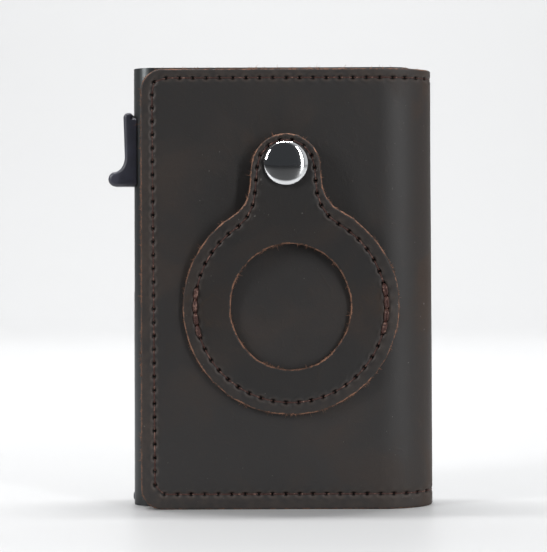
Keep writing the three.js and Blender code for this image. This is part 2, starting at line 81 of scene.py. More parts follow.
MM = 0.001
WHOLE_TURN = 2 * math.pi


def box_mm(node):
    """The lowest and highest corner of a CAD node, in millimetres."""
    low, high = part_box(node)
    return np.array(low) / MM, np.array(high) / MM


# ---- The cover's plan, read from the frame, in millimetres ----

FLAP_LOW, FLAP_HIGH = box_mm("flap_leather")
BACK_FACE = box_mm("back_leather")[1][1]
SPINE_OUTSIDE = box_mm("spine_leather_front")[1][0]
FREE_X, FLAP_FACE = FLAP_LOW[0], FLAP_LOW[1]
HEIGHT = FLAP_HIGH[2]
MIDDLE_Z = HEIGHT / 2
MIDDLE_Y = (FLAP_FACE + BACK_FACE) / 2
HALF_DEPTH = (BACK_FACE - FLAP_FACE) / 2
SPINE_REACH = 12.5  # how far the round spine stands past the flat panels
SPINE_X = SPINE_OUTSIDE - SPINE_REACH
CORNER = 5.0
LEATHER = 1.4
LINING = 0.8
LINING_DEPTH = LEATHER + 0.1  # the lining's outer side, below the cover's face

# ---- The tracker pocket's plan ----

RING_LOW, RING_HIGH = box_mm("tracker_pocket_front")
TAB_LOW, TAB_HIGH = box_mm("tracker_tab_leather")
CAP_LOW, CAP_HIGH = box_mm("snap_cap")
RING_RADIUS = (RING_HIGH[0] - RING_LOW[0]) / 2
RING_X = (RING_HIGH[0] + RING_LOW[0]) / 2
RING_Z = RING_LOW[2] + RING_RADIUS
WINDOW = (13.6, 14.25)  # half its width and half its height
SNAP_X = (CAP_LOW[0] + CAP_HIGH[0]) / 2
SNAP_Z = (CAP_LOW[2] + CAP_HIGH[2]) / 2
CAP_RADIUS = (CAP_HIGH[0] - CAP_LOW[0]) / 2
TAB_RADIUS = 7.8
TAB_X = SNAP_X - 0.02  # the snap sits this little off the tab's middle
TAB_Z = TAB_HIGH[2] - TAB_RADIUS
TAPER = math.radians(5)  # lean of the tab's sides
TAB_LEVEL = 69.0  # height from which the tab is level again
LOW_LIFT = FLAP_FACE - RING_LOW[1] - LEATHER
HIGH_LIFT = FLAP_FACE - TAB_LOW[1] - LEATHER
FOLD_SPAN = 4.0  # half the span round the pocket's fold line, whose ends ride_pocket works out but does not use


# ---- Settings ----


class SeamSettings(bpy.types.PropertyGroup):
    """Sizes of the seams."""

    cover_pitch: FloatProperty(
        name="Cover stitch", description="Length of a cover stitch", default=3.05 * MM, unit="LENGTH"
    )
    pocket_pitch: FloatProperty(
        name="Pocket stitch", description="Length of a pocket stitch", default=2.9 * MM, unit="LENGTH"
    )
    thread: FloatProperty(
        name="Thread", description="Radius of the sewing thread", default=0.15 * MM, unit="LENGTH"
    )
    hole: FloatProperty(
        name="Hole", description="Half width of a stitch hole", default=0.40 * MM, unit="LENGTH"
    )


class EdgeSettings(bpy.types.PropertyGroup):
    """Sizes of the cut edges."""

    rounding: FloatProperty(
        name="Edge rounding", description="Radius of a cut leather edge", default=0.46 * MM, unit="LENGTH"
    )
    fibres: IntProperty(
        name="Fibres", description="Loose fibres for each 10 mm of cut edge", default=55, min=0
    )
    fibre_length: FloatProperty(
        name="Fibre length", description="Length of the longest fibres", default=1.3 * MM, unit="LENGTH"
    )


def colour_property(label, description, default):
    """A colour as a user changes it."""
    return FloatVectorProperty(
        name=label, description=description, default=default, subtype="COLOR", size=3, min=0.0, max=1.0
    )


class ColourSettings(bpy.types.PropertyGroup):
    """Colours of the finishes."""

    leather_dark: colour_property("Leather", "Waxed face of the leather", (0.0215, 0.0195, 0.0190))
    leather_brown: colour_property("Leather, rubbed", "Where the wax has moved", (0.040, 0.0245, 0.0165))
    raw_edge: colour_property("Cut edge", "Undyed fibres at a cut edge", (0.26, 0.130, 0.080))
    lining: colour_property("Lining", "Lining leather", (0.060, 0.036, 0.024))
    thread: colour_property("Thread", "Waxed sewing thread", (0.072, 0.021, 0.014))
    metal_case: colour_property("Card case", "Anodised aluminium", (0.058, 0.062, 0.063))
    plastic: colour_property("Plastic", "Moulded plastic", (0.039, 0.040, 0.055))
    floor: colour_property("Floor", "Studio floor", (0.50, 0.502, 0.505))


SETTINGS = {"wallet_seams": SeamSettings, "wallet_edges": EdgeSettings, "wallet_colours": ColourSettings}


# ---- Meshes ----

EDGE_STEPS = 4  # straight steps in a quarter circle of a cut edge
LATHE_STEPS = 96
RAW_START = 0.2  # share of an edge's rounding at which its raw side begins
SHARP = 60.0  # degrees between faces from which an edge is shaded sharp
SHARP_TURNED = 40.0  # the same on a turned piece
BEVELLED = 32.0  # degrees between faces from which an edge gets its small round
MERGE_CAD, MERGE_TURNED, MERGE_FIBRE = 1e-3, 1e-4, 1e-7  # points this near each other are one


def make_piece(name, points, faces, material, attributes=None, sharp=SHARP):
    """A mesh object from an array of points in millimetres and a list of faces. Its attributes are named
    values at each point."""
    mesh = bpy.data.meshes.new(name)
    mesh.from_pydata((np.asarray(points).reshape(-1, 3) * MM).tolist(), [], faces)
    for key, values in (attributes or {}).items():
        attribute = mesh.attributes.new(key, "FLOAT", "POINT")
        attribute.data.foreach_set("value", np.asarray(values, np.float32).ravel())
    mesh.shade_smooth()
    mesh.set_sharp_from_angle(angle=math.radians(sharp))
    mesh.materials.append(material)
    piece = bpy.data.objects.new(name, mesh)
    bpy.context.scene.collection.objects.link(piece)
    return piece


def grid_faces(index, close_rows=False, close_columns=False):
    """Four-sided faces over a grid of point numbers, which may close on itself in either direction."""
    if close_rows:
        index = np.concatenate([index, index[:1]])
    if close_columns:
        index = np.concatenate([index, index[:, :1]], axis=1)
    corners = (index[:-1, :-1], index[:-1, 1:], index[1:, 1:], index[1:, :-1])
    return np.stack([c.ravel() for c in corners], axis=1)


def tube_faces(count, rings, sides):
    """Faces of so many tubes, each of so many rings, closed at both ends."""
    index = np.arange(count * rings * sides).reshape(count, rings, sides)
    faces = []
    for tube in index:
        faces += grid_faces(tube, close_columns=True).tolist()
        faces += [tube[0, ::-1].tolist(), tube[-1].tolist()]
    return faces


def border(index):
    """The point numbers round the border of a grid, anticlockwise with columns to the right and rows up."""
    return np.concatenate([index[0], index[1:, -1], index[-1, -2::-1], index[-2:0:-1, 0]])


def edge_steps(thickness, rounding):
    """How a cut edge goes from the face to the back, as pairs of inset and depth: a quarter circle from the
    face to the side, and another from the side to the back."""
    turn = np.linspace(0, np.pi / 2, EDGE_STEPS + 1)[1:]
    inset = rounding * (1 - np.sin(turn))
    depth = rounding * (1 - np.cos(turn))
    return list(zip(inset, depth)) + list(zip(inset[::-1], thickness - depth[::-1]))


def rawness(depth, thickness, rounding):
    """How raw the leather is at a depth on its cut edge: it grows from 0 at the face to 1 where the raw side
    begins, and falls again at the back."""
    return np.clip(np.minimum(depth, thickness - depth) / (RAW_START * rounding), 0, 1)


def wander(a, b, size, seed):
    """A smooth irregular value of about size at each (a, b): a sum of five sines in different directions,
    each 1.7 times as frequent as the one before it and 1.35 times as low."""
    draw = np.random.default_rng(seed)
    slowest, usual_sum = 0.22, 2.2
    total = np.zeros(np.broadcast(a, b).shape)
    for octave in range(5):
        wave = slowest * 1.7**octave
        turn, phase = draw.uniform(0, WHOLE_TURN, 2)
        total += np.sin(wave * (a * math.cos(turn) + b * math.sin(turn)) + phase) / 1.35**octave
    return size * total / usual_sum


def ragged(a, b, seed):
    """The small unevenness of a cut leather edge, in millimetres."""
    return wander(a * 3, b * 3, 0.05, seed)


def shell(outline_at, place, thickness, rounding, relief):
    """A sheet with rounded cut edges, closed all round.

    outline_at(inset) gives the grid of sheet coordinates (s, z) drawn in by inset from the cut edge. The face
    is that grid at depth 0 less its relief, the back is the same grid at the full thickness, and between them
    the border steps round the cut edge. place(s, z, depth) puts a sheet coordinate in space. Returns the
    points, the faces, and each point's s, z and edge, which is 1 on the cut edge."""
    s, z = outline_at(rounding)
    rows, columns = s.shape
    index = np.arange(rows * columns).reshape(rows, columns)
    rim = border(index)
    face_relief = relief(s, z)
    points = [np.stack(place(s, z, -face_relief), axis=-1).reshape(-1, 3)]
    flat = [(s.ravel(), z.ravel(), np.zeros(s.size))]
    loops = [rim]
    for inset, depth in edge_steps(thickness, rounding)[:-1]:
        ring_s, ring_z = (grid.ravel()[rim] for grid in outline_at(inset))
        fade = 1 - depth / thickness
        wobble = ragged(ring_s, ring_z, 5) * (depth > RAW_START * rounding)
        at = place(ring_s, ring_z, depth - relief(ring_s, ring_z) * fade + wobble)
        loops.append(sum(len(p) for p in points) + np.arange(len(rim)))
        points.append(np.stack(at, axis=-1))
        flat.append((ring_s, ring_z, np.full(len(rim), rawness(depth, thickness, rounding))))
    back = index + sum(len(p) for p in points)
    points.append(np.stack(place(s, z, np.full(s.shape, thickness)), axis=-1).reshape(-1, 3))
    flat.append((s.ravel(), z.ravel(), np.zeros(s.size)))
    loops.append(border(back))
    walls = grid_faces(np.array(loops), close_columns=True)
    faces = np.concatenate([grid_faces(index), walls[:, [0, 3, 2, 1]], grid_faces(back)[:, ::-1]])
    return np.concatenate(points), faces.tolist(), [np.concatenate(parts) for parts in zip(*flat)]


def lathe(name, profile, centre_x, centre_z, material):
    """A turned piece: each (radius, y) of the profile carried round an axis along Y through (x, z)."""
    profile = np.array(profile, float)
    turn = np.linspace(0, WHOLE_TURN, LATHE_STEPS, endpoint=False)
    radius, y = profile[:, :1], profile[:, 1:]
    x = centre_x + radius * np.cos(turn)
    z = centre_z + radius * np.sin(turn)
    points = np.stack([x, np.broadcast_to(y, x.shape), z], axis=-1)
    index = np.arange(x.size).reshape(x.shape)
    faces = grid_faces(index, close_columns=True).tolist()
    piece = make_piece(name, points, faces, material, sharp=SHARP_TURNED)
    shape_up(piece, MERGE_TURNED)
    return piece


def shape_up(piece, merge, flatten=None):
    """Merges the doubles of a closed mesh, joins faces that lie within flatten degrees of each other if it is
    given, and turns all faces outwards."""
    work = bmesh.new()
    work.from_mesh(piece.data)
    bmesh.ops.remove_doubles(work, verts=work.verts, dist=merge * MM)
    if flatten:
        bmesh.ops.dissolve_limit(work, angle_limit=math.radians(flatten), verts=work.verts, edges=work.edges)
    bmesh.ops.recalc_face_normals(work, faces=work.faces)
    work.to_mesh(piece.data)
    work.free()


def finish_solid(node, finish, bevel, flatten=0.4):
    """A hard piece made from a CAD node: its loose triangles are merged, those that lie flat together become
    one face, and its edges get a small round."""
    body = frame["nodes"][node]["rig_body"]
    mesh = frame["nodes"][node].data.copy()
    mesh.materials.clear()
    mesh.materials.append(finish_of(finish))
    piece = bpy.data.objects.new(f"{node}_piece", mesh)
    bpy.context.scene.collection.objects.link(piece)
    shape_up(piece, MERGE_CAD, flatten)
    mesh.shade_smooth()
    round_edges = piece.modifiers.new("edges", "BEVEL")
    round_edges.width = bevel * MM
    round_edges.segments = 3
    round_edges.limit_method = "ANGLE"
    round_edges.angle_limit = math.radians(BEVELLED)
    round_edges.harden_normals = True
    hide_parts(node)
    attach(piece, body)
    return piece


# ---- The cover's surface and its seams ----


class CoverCurve:
    """The outer face of the closed cover in plan, by the distance s along it.

    It runs straight along the flap from its free edge, round a half ellipse at the spine and straight back
    along the back panel. Below 0 and past its length it carries straight on."""

    def __init__(self):
        turn = np.linspace(0, np.pi, 600)
        beyond = 20.0
        arc_x = SPINE_X + SPINE_REACH * np.sin(turn)
        arc_y = MIDDLE_Y - HALF_DEPTH * np.cos(turn)
        self.x = np.concatenate([[FREE_X - beyond, FREE_X], arc_x, [FREE_X, FREE_X - beyond]])
        self.y = np.concatenate([[FLAP_FACE] * 2, arc_y, [BACK_FACE] * 2])
        steps = np.hypot(np.diff(self.x), np.diff(self.y))
        self.s = np.concatenate([[0], np.cumsum(steps)]) - beyond
        self.length = self.s[-2]
        out_x, out_y = np.sin(turn) / SPINE_REACH, -np.cos(turn) / HALF_DEPTH
        size = np.hypot(out_x, out_y)
        self.out_x = np.concatenate([[0, 0], out_x / size, [0, 0]])
        self.out_y = np.concatenate([[-1, -1], out_y / size, [1, 1]])
        self.turn, self.turn_s = turn, self.s[2:-2]

    def at_turn(self, degrees):
        """The distance s where the spine has turned by so many degrees from the flap."""
        return float(np.interp(math.radians(degrees), self.turn, self.turn_s))

    def place(self, s, z, depth):
        """A point so deep below the outer face at (s, z), as x, y and z."""
        s, z, depth = np.broadcast_arrays(s, z, depth)
        x, y, out_x, out_y = (np.interp(s, self.s, row) for row in (self.x, self.y, self.out_x, self.out_y))
        return x - out_x * depth, y - out_y * depth, z


COVER = CoverCurve()
SPLIT_FRONT = COVER.at_turn(55)
SPLIT_BACK = COVER.at_turn(125)
FLAP_BEND = COVER.at_turn(20) - 0.4
BACK_BEND = COVER.at_turn(160) + 0.4
COVER_ZONES = (
    ("flap", "spine_front", FLAP_BEND, SPLIT_FRONT),
    ("spine_front", "spine_back", SPLIT_FRONT, SPLIT_BACK),
    ("spine_back", "case_body", SPLIT_BACK, BACK_BEND),
)


def ride_cover(piece, zone, depth=0.0):
    """Bakes a piece of the cover's placing into its mesh; the ends of its zone's fold are worked out but not
    used.
    """
    near, far, start, end = COVER_ZONES[zone]
    ends = [np.array(COVER.place(s, MIDDLE_Z, depth), float) * MM for s in (start, end)]
    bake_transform(piece)


def arc(centre, radius, start, end, steps):
    """Points along an arc between two angles in degrees."""
    turn = np.radians(np.linspace(start, end, steps))
    return np.stack([centre[0] + radius * np.cos(turn), centre[1] + radius * np.sin(turn)], axis=1)


class SeamLine:
    """One half of a seam, as a line of straight steps in the sheet's own plane, with a whole number of
    stitches. Holes lie half way between whole stitch counts. Its outer side is on the side that outward says:
    1 is to the left of the way it runs, and -1 to the right."""

    def __init__(self, points, pitch, outward):
        self.points = points
        steps = np.diff(points, axis=0)
        self.lengths = np.hypot(*steps.T)
        self.ways = steps / self.lengths[:, None]
        self.at = np.concatenate([[0], np.cumsum(self.lengths)])
        self.count = round(self.at[-1] / pitch)
        self.pitch = self.at[-1] / self.count
        self.outward = outward

    def holes(self):
        """Where its holes are, from first to last."""
        along = (np.arange(self.count) + 0.5) * self.pitch
        return np.stack([np.interp(along, self.at, self.points[:, i]) for i in (0, 1)], axis=1)

    def measure(self, s, z):
        """At each (s, z) the distance to the line, which is the least of those to its straight steps, the
        stitch count there, and the distance again with its sign, positive on the outer side."""
        nearest = np.full(s.shape, np.inf)
        count, across = np.zeros(s.shape), np.zeros(s.shape)
        for point, way, length, before in zip(self.points, self.ways, self.lengths, self.at):
            ds, dz = s - point[0], z - point[1]
            along = np.clip(ds * way[0] + dz * way[1], 0, length)
            distance = np.hypot(ds - along * way[0], dz - along * way[1])
            side = np.sign(way[0] * dz - way[1] * ds) * self.outward
            closer = distance < nearest
            nearest = np.where(closer, distance, nearest)
            count = np.where(closer, (before + along) / self.pitch, count)
            across = np.where(closer, distance * np.where(side == 0, 1, side), across)
        return nearest, count, across


def measure_seam(lines, s, z):
    """The stitch count and the distance across at each (s, z), for the nearer half of a seam."""
    first, second = (line.measure(s, z) for line in lines)
    return [np.where(first[0] <= second[0], a, b) for a, b in zip(first[1:], second[1:])]


def hole_loop(lines):
    """The holes of a whole seam in order: up one half and down the other."""
    first, second = (line.holes() for line in lines)
    return np.concatenate([first[::-1], second])


SEAM_BEND = 2.4
SEAM_LEFT = (2.6, 2.9, 3.15)  # distance from the free edge at the top, half way up and at the bottom
SEAM_TOP = HEIGHT - 2.1
SEAM_BOTTOM = 3.45


def cover_seam(pitch):
    """The two halves of the cover's seam, each from the middle of the flap's free edge along the top or the
    bottom and round the spine to the middle of the back panel's free edge."""
    top, middle, bottom = SEAM_LEFT
    far = COVER.length
    upper = [
        [[middle, MIDDLE_Z]],
        arc((top + SEAM_BEND, SEAM_TOP - SEAM_BEND), SEAM_BEND, 180, 90, 9),
        arc((far - top - SEAM_BEND, SEAM_TOP - SEAM_BEND), SEAM_BEND, 90, 0, 9),
        [[far - middle, MIDDLE_Z]],
    ]
    lower = [
        [[middle, MIDDLE_Z]],
        arc((bottom + SEAM_BEND, SEAM_BOTTOM + SEAM_BEND), SEAM_BEND, 180, 270, 9),
        arc((far - bottom - SEAM_BEND, SEAM_BOTTOM + SEAM_BEND), SEAM_BEND, 270, 360, 9),
        [[far - middle, MIDDLE_Z]],
    ]
    return SeamLine(np.concatenate(upper), pitch, 1), SeamLine(np.concatenate(lower), pitch, -1)


VALLEY_DEPTH, VALLEY_WIDTH = 0.15, 1.0
GROOVE_DEPTH, GROOVE_WIDTH = 0.07, 0.38  # pressed in by the thread, along the valley's bottom
PIT_DEPTH = 0.75
SWELL_HEIGHT, SWELL_WIDTH, SWELL_LENGTH = 0.12, 0.40, 1.1


def hump(distance, width, power=2):
    """1 in the middle, and falling to nothing past the width: e to minus a power of their ratio."""
    return np.exp(-((distance / width) ** power))


def seam_relief(count, across, pitch, hole):
    """How far the face stands up or down near a seam: a soft valley along it with a narrow groove, a deep pit
    at each hole, and a low swelling in a ring round each pit."""
    along = (count - np.floor(count) - 0.5) * pitch
    valley = -VALLEY_DEPTH * hump(across, VALLEY_WIDTH) - GROOVE_DEPTH * hump(across, GROOVE_WIDTH)
    reach = np.hypot(along * 0.8, across)
    pit = -PIT_DEPTH * hump(reach, hole, 3)
    swelling = SWELL_HEIGHT * hump(reach - 2.2 * hole, SWELL_WIDTH) * hump(along, SWELL_LENGTH)
    return valley + pit + swelling


# ---- Node trees ----


class Value:
    """A socket of a node tree. Arithmetic on it adds Math nodes, or Vector Math nodes if it is a vector."""

    def __init__(self, tree, socket):
        self.tree = tree
        self.socket = socket

    def __add__(self, other):
        return self.tree.arithmetic("ADD", self, other)

    def __sub__(self, other):
        return self.tree.arithmetic("SUBTRACT", self, other)

    def __rsub__(self, other):
        return self.tree.arithmetic("SUBTRACT", other, self)

    def __mul__(self, other):
        return self.tree.arithmetic("MULTIPLY", self, other)

    __radd__ = __add__
    __rmul__ = __mul__


class Tree:
    """Adds nodes to a material's or a world's node tree."""

    def __init__(self, owner):
        owner.use_nodes = True
        self.owner = owner
        self.nodes = owner.node_tree.nodes
        self.links = owner.node_tree.links
        self.nodes.clear()

    def feed(self, socket, value):
        """Links a value to an input, or sets it there if it is a constant."""
        if isinstance(value, Value):
            self.links.new(value.socket, socket)
        else:
            socket.default_value = value

    def node(self, kind, settings=None, inputs=None, output=0):
        """A node of any type, with its settings made first and then its inputs fed."""
        made = self.nodes.new(kind)
        for key, value in (settings or {}).items():
            setattr(made, key, value)
        for key, value in (inputs or {}).items():
            self.feed(made.inputs[key], value)
        return Value(self, made.outputs[output]) if made.outputs else made

    def arithmetic(self, operation, first, second):
        """A Math node on two values, or a Vector Math node where the first is a vector."""
        vector = isinstance(first, Value) and first.socket.type == "VECTOR"
        if vector and operation == "MULTIPLY" and not isinstance(second, Value):
            return self.node("ShaderNodeVectorMath", {"operation": "SCALE"}, {0: first, "Scale": second})
        kind = "ShaderNodeVectorMath" if vector else "ShaderNodeMath"
        return self.node(kind, {"operation": operation}, {0: first, 1: second})

    def math(self, operation, *values):
        """A Math node on one or more values."""
        return self.node("ShaderNodeMath", {"operation": operation}, dict(enumerate(values)))

    def attribute(self, name):
        """A value carried by the piece's own points."""
        return self.node("ShaderNodeAttribute", {"attribute_name": name}, output="Fac")

    def millimetres(self):
        """Object coordinates in millimetres."""
        return self.node("ShaderNodeTexCoord", output="Object") * (1 / MM)

    def noise(self, where, scale, detail=3.0, roughness=0.5, distortion=0.0):
        """Noise between 0 and 1, its scale in waves for each millimetre."""
        inputs = {"Vector": where, "Scale": scale, "Detail": detail, "Roughness": roughness}
        return self.node("ShaderNodeTexNoise", None, {**inputs, "Distortion": distortion}, "Fac")

    def cells(self, where, scale):
        """The distance to the nearest of scattered points."""
        return self.node("ShaderNodeTexVoronoi", None, {"Vector": where, "Scale": scale}, "Distance")

    def ease(self, value, low, high, start=0.0, end=1.0):
        """A smooth step from start to end as a value goes from low to high."""
        inputs = {"Value": value, "From Min": low, "From Max": high, "To Min": start, "To Max": end}
        return self.node("ShaderNodeMapRange", {"interpolation_type": "SMOOTHSTEP"}, inputs)

    def mix(self, share, first, second):
        """Two colours mixed by a share. The Mix node's colour sockets share their names with others, so they
        go by number."""
        inputs = {0: share, 6: self.colour(first), 7: self.colour(second)}
        return self.node("ShaderNodeMix", {"data_type": "RGBA"}, inputs, 2)

    @staticmethod
    def colour(value):
        """A colour as a socket takes it."""
        return value if isinstance(value, Value) else (*value[:3], 1.0)

    def axes(self, vector, names):
        """Some of the axes of a vector, each as a value."""
        return [self.node("ShaderNodeSeparateXYZ", None, {0: vector}, name) for name in names]

    def bump(self, height, strength, distance):
        """A normal from a height, whose distance is in millimetres."""
        inputs = {"Height": height, "Strength": strength, "Distance": distance * MM}
        return self.node("ShaderNodeBump", None, inputs)

    def surface(self, **inputs):
        """The Principled surface that ends a material."""
        names = {key.replace("_", " ").title().replace("Ior", "IOR"): v for key, v in inputs.items()}
        if not isinstance(names.get("Base Color"), Value):
            names["Base Color"] = self.colour(names["Base Color"])
        shader = self.node("ShaderNodeBsdfPrincipled", None, names)
        self.node("ShaderNodeOutputMaterial", None, {"Surface": shader})
        return self.owner


def start_material(name):
    """A new material's tree."""
    return Tree(bpy.data.materials.new(name))


# ---- Finishes ----

# painted shade: the near black that stands for the shade inside a stitch hole
HOLE_SHADE = (0.0035, 0.0016, 0.0014)
# painted shade: the dark brown painted along the groove that the seam presses in
GROOVE_SHADE_BROWN = (0.012, 0.007, 0.006)
DUST_GREY = (0.16, 0.15, 0.14)
THREAD_GLINT = (0.30, 0.17, 0.13)
FELT_TONES = (0.006, 0.006, 0.006), (0.030, 0.030, 0.031)
TAPE_TONES = (0.62, 0.59, 0.50), (0.74, 0.71, 0.63)
CHROME = (0.80, 0.81, 0.82)
STEEL = (0.46, 0.46, 0.47)


def scaled(tone, share):
    """A colour made darker or lighter by a share."""
    return tuple(share * c for c in tone)


def colours():
    """The user's colours."""
    return bpy.context.scene.wallet_colours


def seams():
    """The user's seam sizes."""
    return bpy.context.scene.wallet_seams


def edges():
    """The user's edge sizes."""
    return bpy.context.scene.wallet_edges


def waxed_leather(name, pitch, shade=1.0, rawest=1.0, crease=None):
    """Waxed pull-up leather: a near-black face with brown, rubbed clouds, a paler puffed margin outside the
    seam, stitch holes painted near black as painted shade with a pale swelling round them, a line of painted
    shade along the seam's groove, and raw tan fibres on the cut edge. The brown comes through where the wax
    has moved: round the spine, and along a crease at a given height. shade darkens the face, partly for the
    leather's own darker tone and partly as painted shade, and rawest darkens the fibres."""
    tree = start_material(name)
    where = tree.millimetres()
    clouds = tree.ease(tree.noise(where, 0.055, 4.0, 0.55, 0.6), 0.46, 0.70)
    streaks = tree.ease(tree.noise(where, 0.35, 5.0, 0.6, 1.2), 0.50, 0.80)
    grain = tree.noise(where, 2.6, 4.0, 0.6)
    pores = tree.ease(tree.cells(where, 1.9), 0.0, 0.22)

    count, across, edge = (tree.attribute(key) for key in ("stitch", "across", "edge"))
    along = (tree.math("FRACT", count) - 0.5) * pitch
    reach = tree.math("SQRT", along * along * 0.6 + across * across)
    size = seams().hole / MM
    # painted shade mask: where the stitch holes are painted near black
    hole = tree.ease(reach, size * 0.8, size * 1.35, 1.0, 0.0)
    halo = tree.ease(reach, size * 1.4, size * 3.2, 1.0, 0.0)
    margin = tree.ease(across, 0.1, 0.9)
    # painted shade mask: a narrow band along the seam line
    groove_shade = tree.ease(tree.math("ABSOLUTE", across), 0.08, 0.34, 1.0, 0.0)
    puffed = halo * 0.9 + margin * (0.15 + 0.5 * tree.ease(tree.noise(where, 0.5), 0.35, 0.7))

    # shade scales both tones down: partly the leather's own darker tone, partly painted shade
    dark, brown = scaled(colours().leather_dark, shade), scaled(colours().leather_brown, shade)
    pale = tuple(min(1.0, 1.1 * a + 0.9 * b) for a, b in zip(dark, brown))
    x, z = tree.axes(where, "XZ")
    rubbed = clouds * 0.45 + streaks * 0.2 + tree.ease(x, SPINE_X + 5, SPINE_OUTSIDE) * (0.5 + clouds)
    if crease is not None:
        rubbed += tree.ease(tree.math("ABSOLUTE", z - crease), 0.5, 8.0, 0.9, 0.0) * (0.4 + streaks)
    base = tree.mix(tree.math("MINIMUM", rubbed, 1.0), dark, brown)
    base = tree.mix(grain * 0.25, base, scaled(dark, 0.55))
    base = tree.mix(tree.math("MINIMUM", puffed, 1.0) * 0.6, base, pale)
    # painted shade along the seam's groove
    base = tree.mix(groove_shade * 0.35, base, GROOVE_SHADE_BROWN)
    # painted shade: each stitch hole is painted near black for the shade inside it
    base = tree.mix(hole * 0.97, base, HOLE_SHADE)
    dust = tree.ease(tree.noise(where, 1.35, 1.0, 0.2), 0.795, 0.84)
    base = tree.mix(dust * 0.55, base, DUST_GREY)

    fluff = tree.noise(where, 1.4, 5.0, 0.7)
    worn = tree.ease(tree.noise(where, 0.33, 3.0, 0.6), 0.36, 0.62)
    raw = tree.ease(edge * 0.9 + (fluff - 0.5) * 3.0 + worn * 0.3, 0.45, 1.05) * tree.ease(edge, 0.05, 0.4)
    pile = tree.ease(fluff * 0.7 + worn * 0.3, 0.28, 0.68)
    tan = tree.mix(pile, *(scaled(colours().raw_edge, share * rawest) for share in (0.10, 1.0)))
    base = tree.mix(raw * 0.95, base, tan)

    rough = 0.47 + 0.10 * grain + 0.10 * clouds - 0.05 * streaks + 0.30 * raw
    height = grain * 0.5 + pores * 0.5 + streaks * 0.6 + fluff * raw * 3.0
    normal = tree.bump(height, 0.28, 0.12)
    return tree.surface(base_color=base, roughness=rough, normal=normal, specular_ior_level=0.42)


def lining_leather(name):
    """Thin lining leather: brown, matt, with a fine pebbled grain and faint clouds."""
    tree = start_material(name)
    where = tree.millimetres()
    clouds = tree.ease(tree.noise(where, 0.08, 4.0, 0.6, 0.4), 0.4, 0.7)
    pebble = tree.cells(where, 1.6)
    grain = tree.noise(where, 3.5, 3.0)
    tone = colours().lining
    base = tree.mix(clouds * 0.7, tone, scaled(tone, 0.6))
    base = tree.mix(grain * 0.4, base, scaled(tone, 1.4))
    height = pebble * 0.8 + grain * 0.5
    return tree.surface(base_color=base, roughness=0.6 + 0.15 * grain, normal=tree.bump(height, 0.35, 0.12))


def waxed_thread(name):
    """Waxed thread: dark red-brown, with paler glints where the strands turn up."""
    tree = start_material(name)
    where = tree.millimetres()
    strands = tree.noise(where, 3.4, 3.0, 0.6, 0.8)
    glint = tree.ease(tree.noise(where, 1.2, 2.0), 0.54, 0.68)
    tone = colours().thread
    base = tree.mix(strands, scaled(tone, 0.35), tone)
    base = tree.mix(glint * 0.55, base, THREAD_GLINT)
    return tree.surface(base_color=base, roughness=0.5 + 0.2 * strands, normal=tree.bump(strands, 0.6, 0.15))


def loose_fibre(name):
    """Single leather fibres: tan to red-brown."""
    tree = start_material(name)
    tint = tree.noise(tree.millimetres(), 0.9, 2.0)
    tone = colours().raw_edge
    base = tree.mix(tree.ease(tint, 0.35, 0.65), scaled(tone, 0.3), scaled(tone, 0.95))
    return tree.surface(base_color=base, roughness=0.75 + 0.15 * tint)


def metal(name, tone, rough, scale, wear, metallic=1.0, bump=0.03):
    """A metal finish: fine noise in its gloss and faint handling marks."""
    tree = start_material(name)
    where = tree.millimetres()
    fine = tree.noise(where, scale, 4.0, 0.6)
    marks = tree.ease(tree.noise(where, 0.6, 5.0, 0.7, 1.5), 0.52, 0.78)
    base = tree.mix(marks * wear, tone, tuple(min(1.0, 1.25 * c + 0.01) for c in tone))
    roughness = rough + 0.35 * rough * fine + wear * 0.25 * marks
    normal = tree.bump(fine, bump, 0.05)
    return tree.surface(base_color=base, metallic=metallic, roughness=roughness, normal=normal)


def moulded_plastic(name):
    """Satin black plastic with a spark-eroded grain and slightly polished high spots."""
    tree = start_material(name)
    where = tree.millimetres()
    grain = tree.noise(where, 5.0, 2.0)
    rubbed = tree.ease(tree.noise(where, 0.25, 3.0), 0.42, 0.68)
    tone = colours().plastic
    base = tree.mix(rubbed * 0.5, tone, scaled(tone, 1.5))
    rough = 0.36 + 0.08 * grain - 0.05 * rubbed
    return tree.surface(base_color=base, roughness=rough, normal=tree.bump(grain, 0.08, 0.05))


def wool_felt(name):
    """Black wool felt."""
    tree = start_material(name)
    fuzz = tree.noise(tree.millimetres(), 2.8, 6.0, 0.75, 1.0)
    base = tree.mix(fuzz, *FELT_TONES)
    return tree.surface(base_color=base, roughness=0.95, normal=tree.bump(fuzz, 0.8, 0.3))


def foam_tape(name):
    """Off-white double-sided foam tape."""
    tree = start_material(name)
    foam = tree.cells(tree.millimetres(), 2.2)
    base = tree.mix(foam, *TAPE_TONES)
    return tree.surface(base_color=base, roughness=0.75, normal=tree.bump(foam, 0.25, 0.1))


FINISHES = {
    "cover_leather": lambda name: waxed_leather(name, seams().cover_pitch / MM, rawest=0.6),
    # the pocket's leather is darker than the cover's: partly its own darker tone, partly painted shade for
    # light that the flap catches more than the pocket
    "pocket_leather": lambda name: waxed_leather(name, seams().pocket_pitch / MM, shade=0.72, crease=RING_Z),
    "lining_leather": lining_leather,
    "waxed_thread": waxed_thread,
    "loose_fibre": loose_fibre,
    "bright_chrome": lambda name: metal(name, CHROME, 0.05, 2.0, 0.05, bump=0.004),
    "spring_steel": lambda name: metal(name, STEEL, 0.26, 3.0, 0.15),
    "anodised_case": lambda name: metal(name, colours().metal_case, 0.34, 6.0, 0.12, metallic=0.85),
    "moulded_plastic": moulded_plastic,
    "wool_felt": wool_felt,
    "foam_tape": foam_tape,
}


def finish_of(name):
    """A finish by name, made the first time that it is asked for."""
    return bpy.data.materials.get(name) or FINISHES[name](name)


# ---- The cover ----


def spaced(start, stop, spacing):
    """Even steps from start to stop, no longer than spacing."""
    return np.linspace(start, stop, max(2, math.ceil((stop - start) / spacing) + 1))


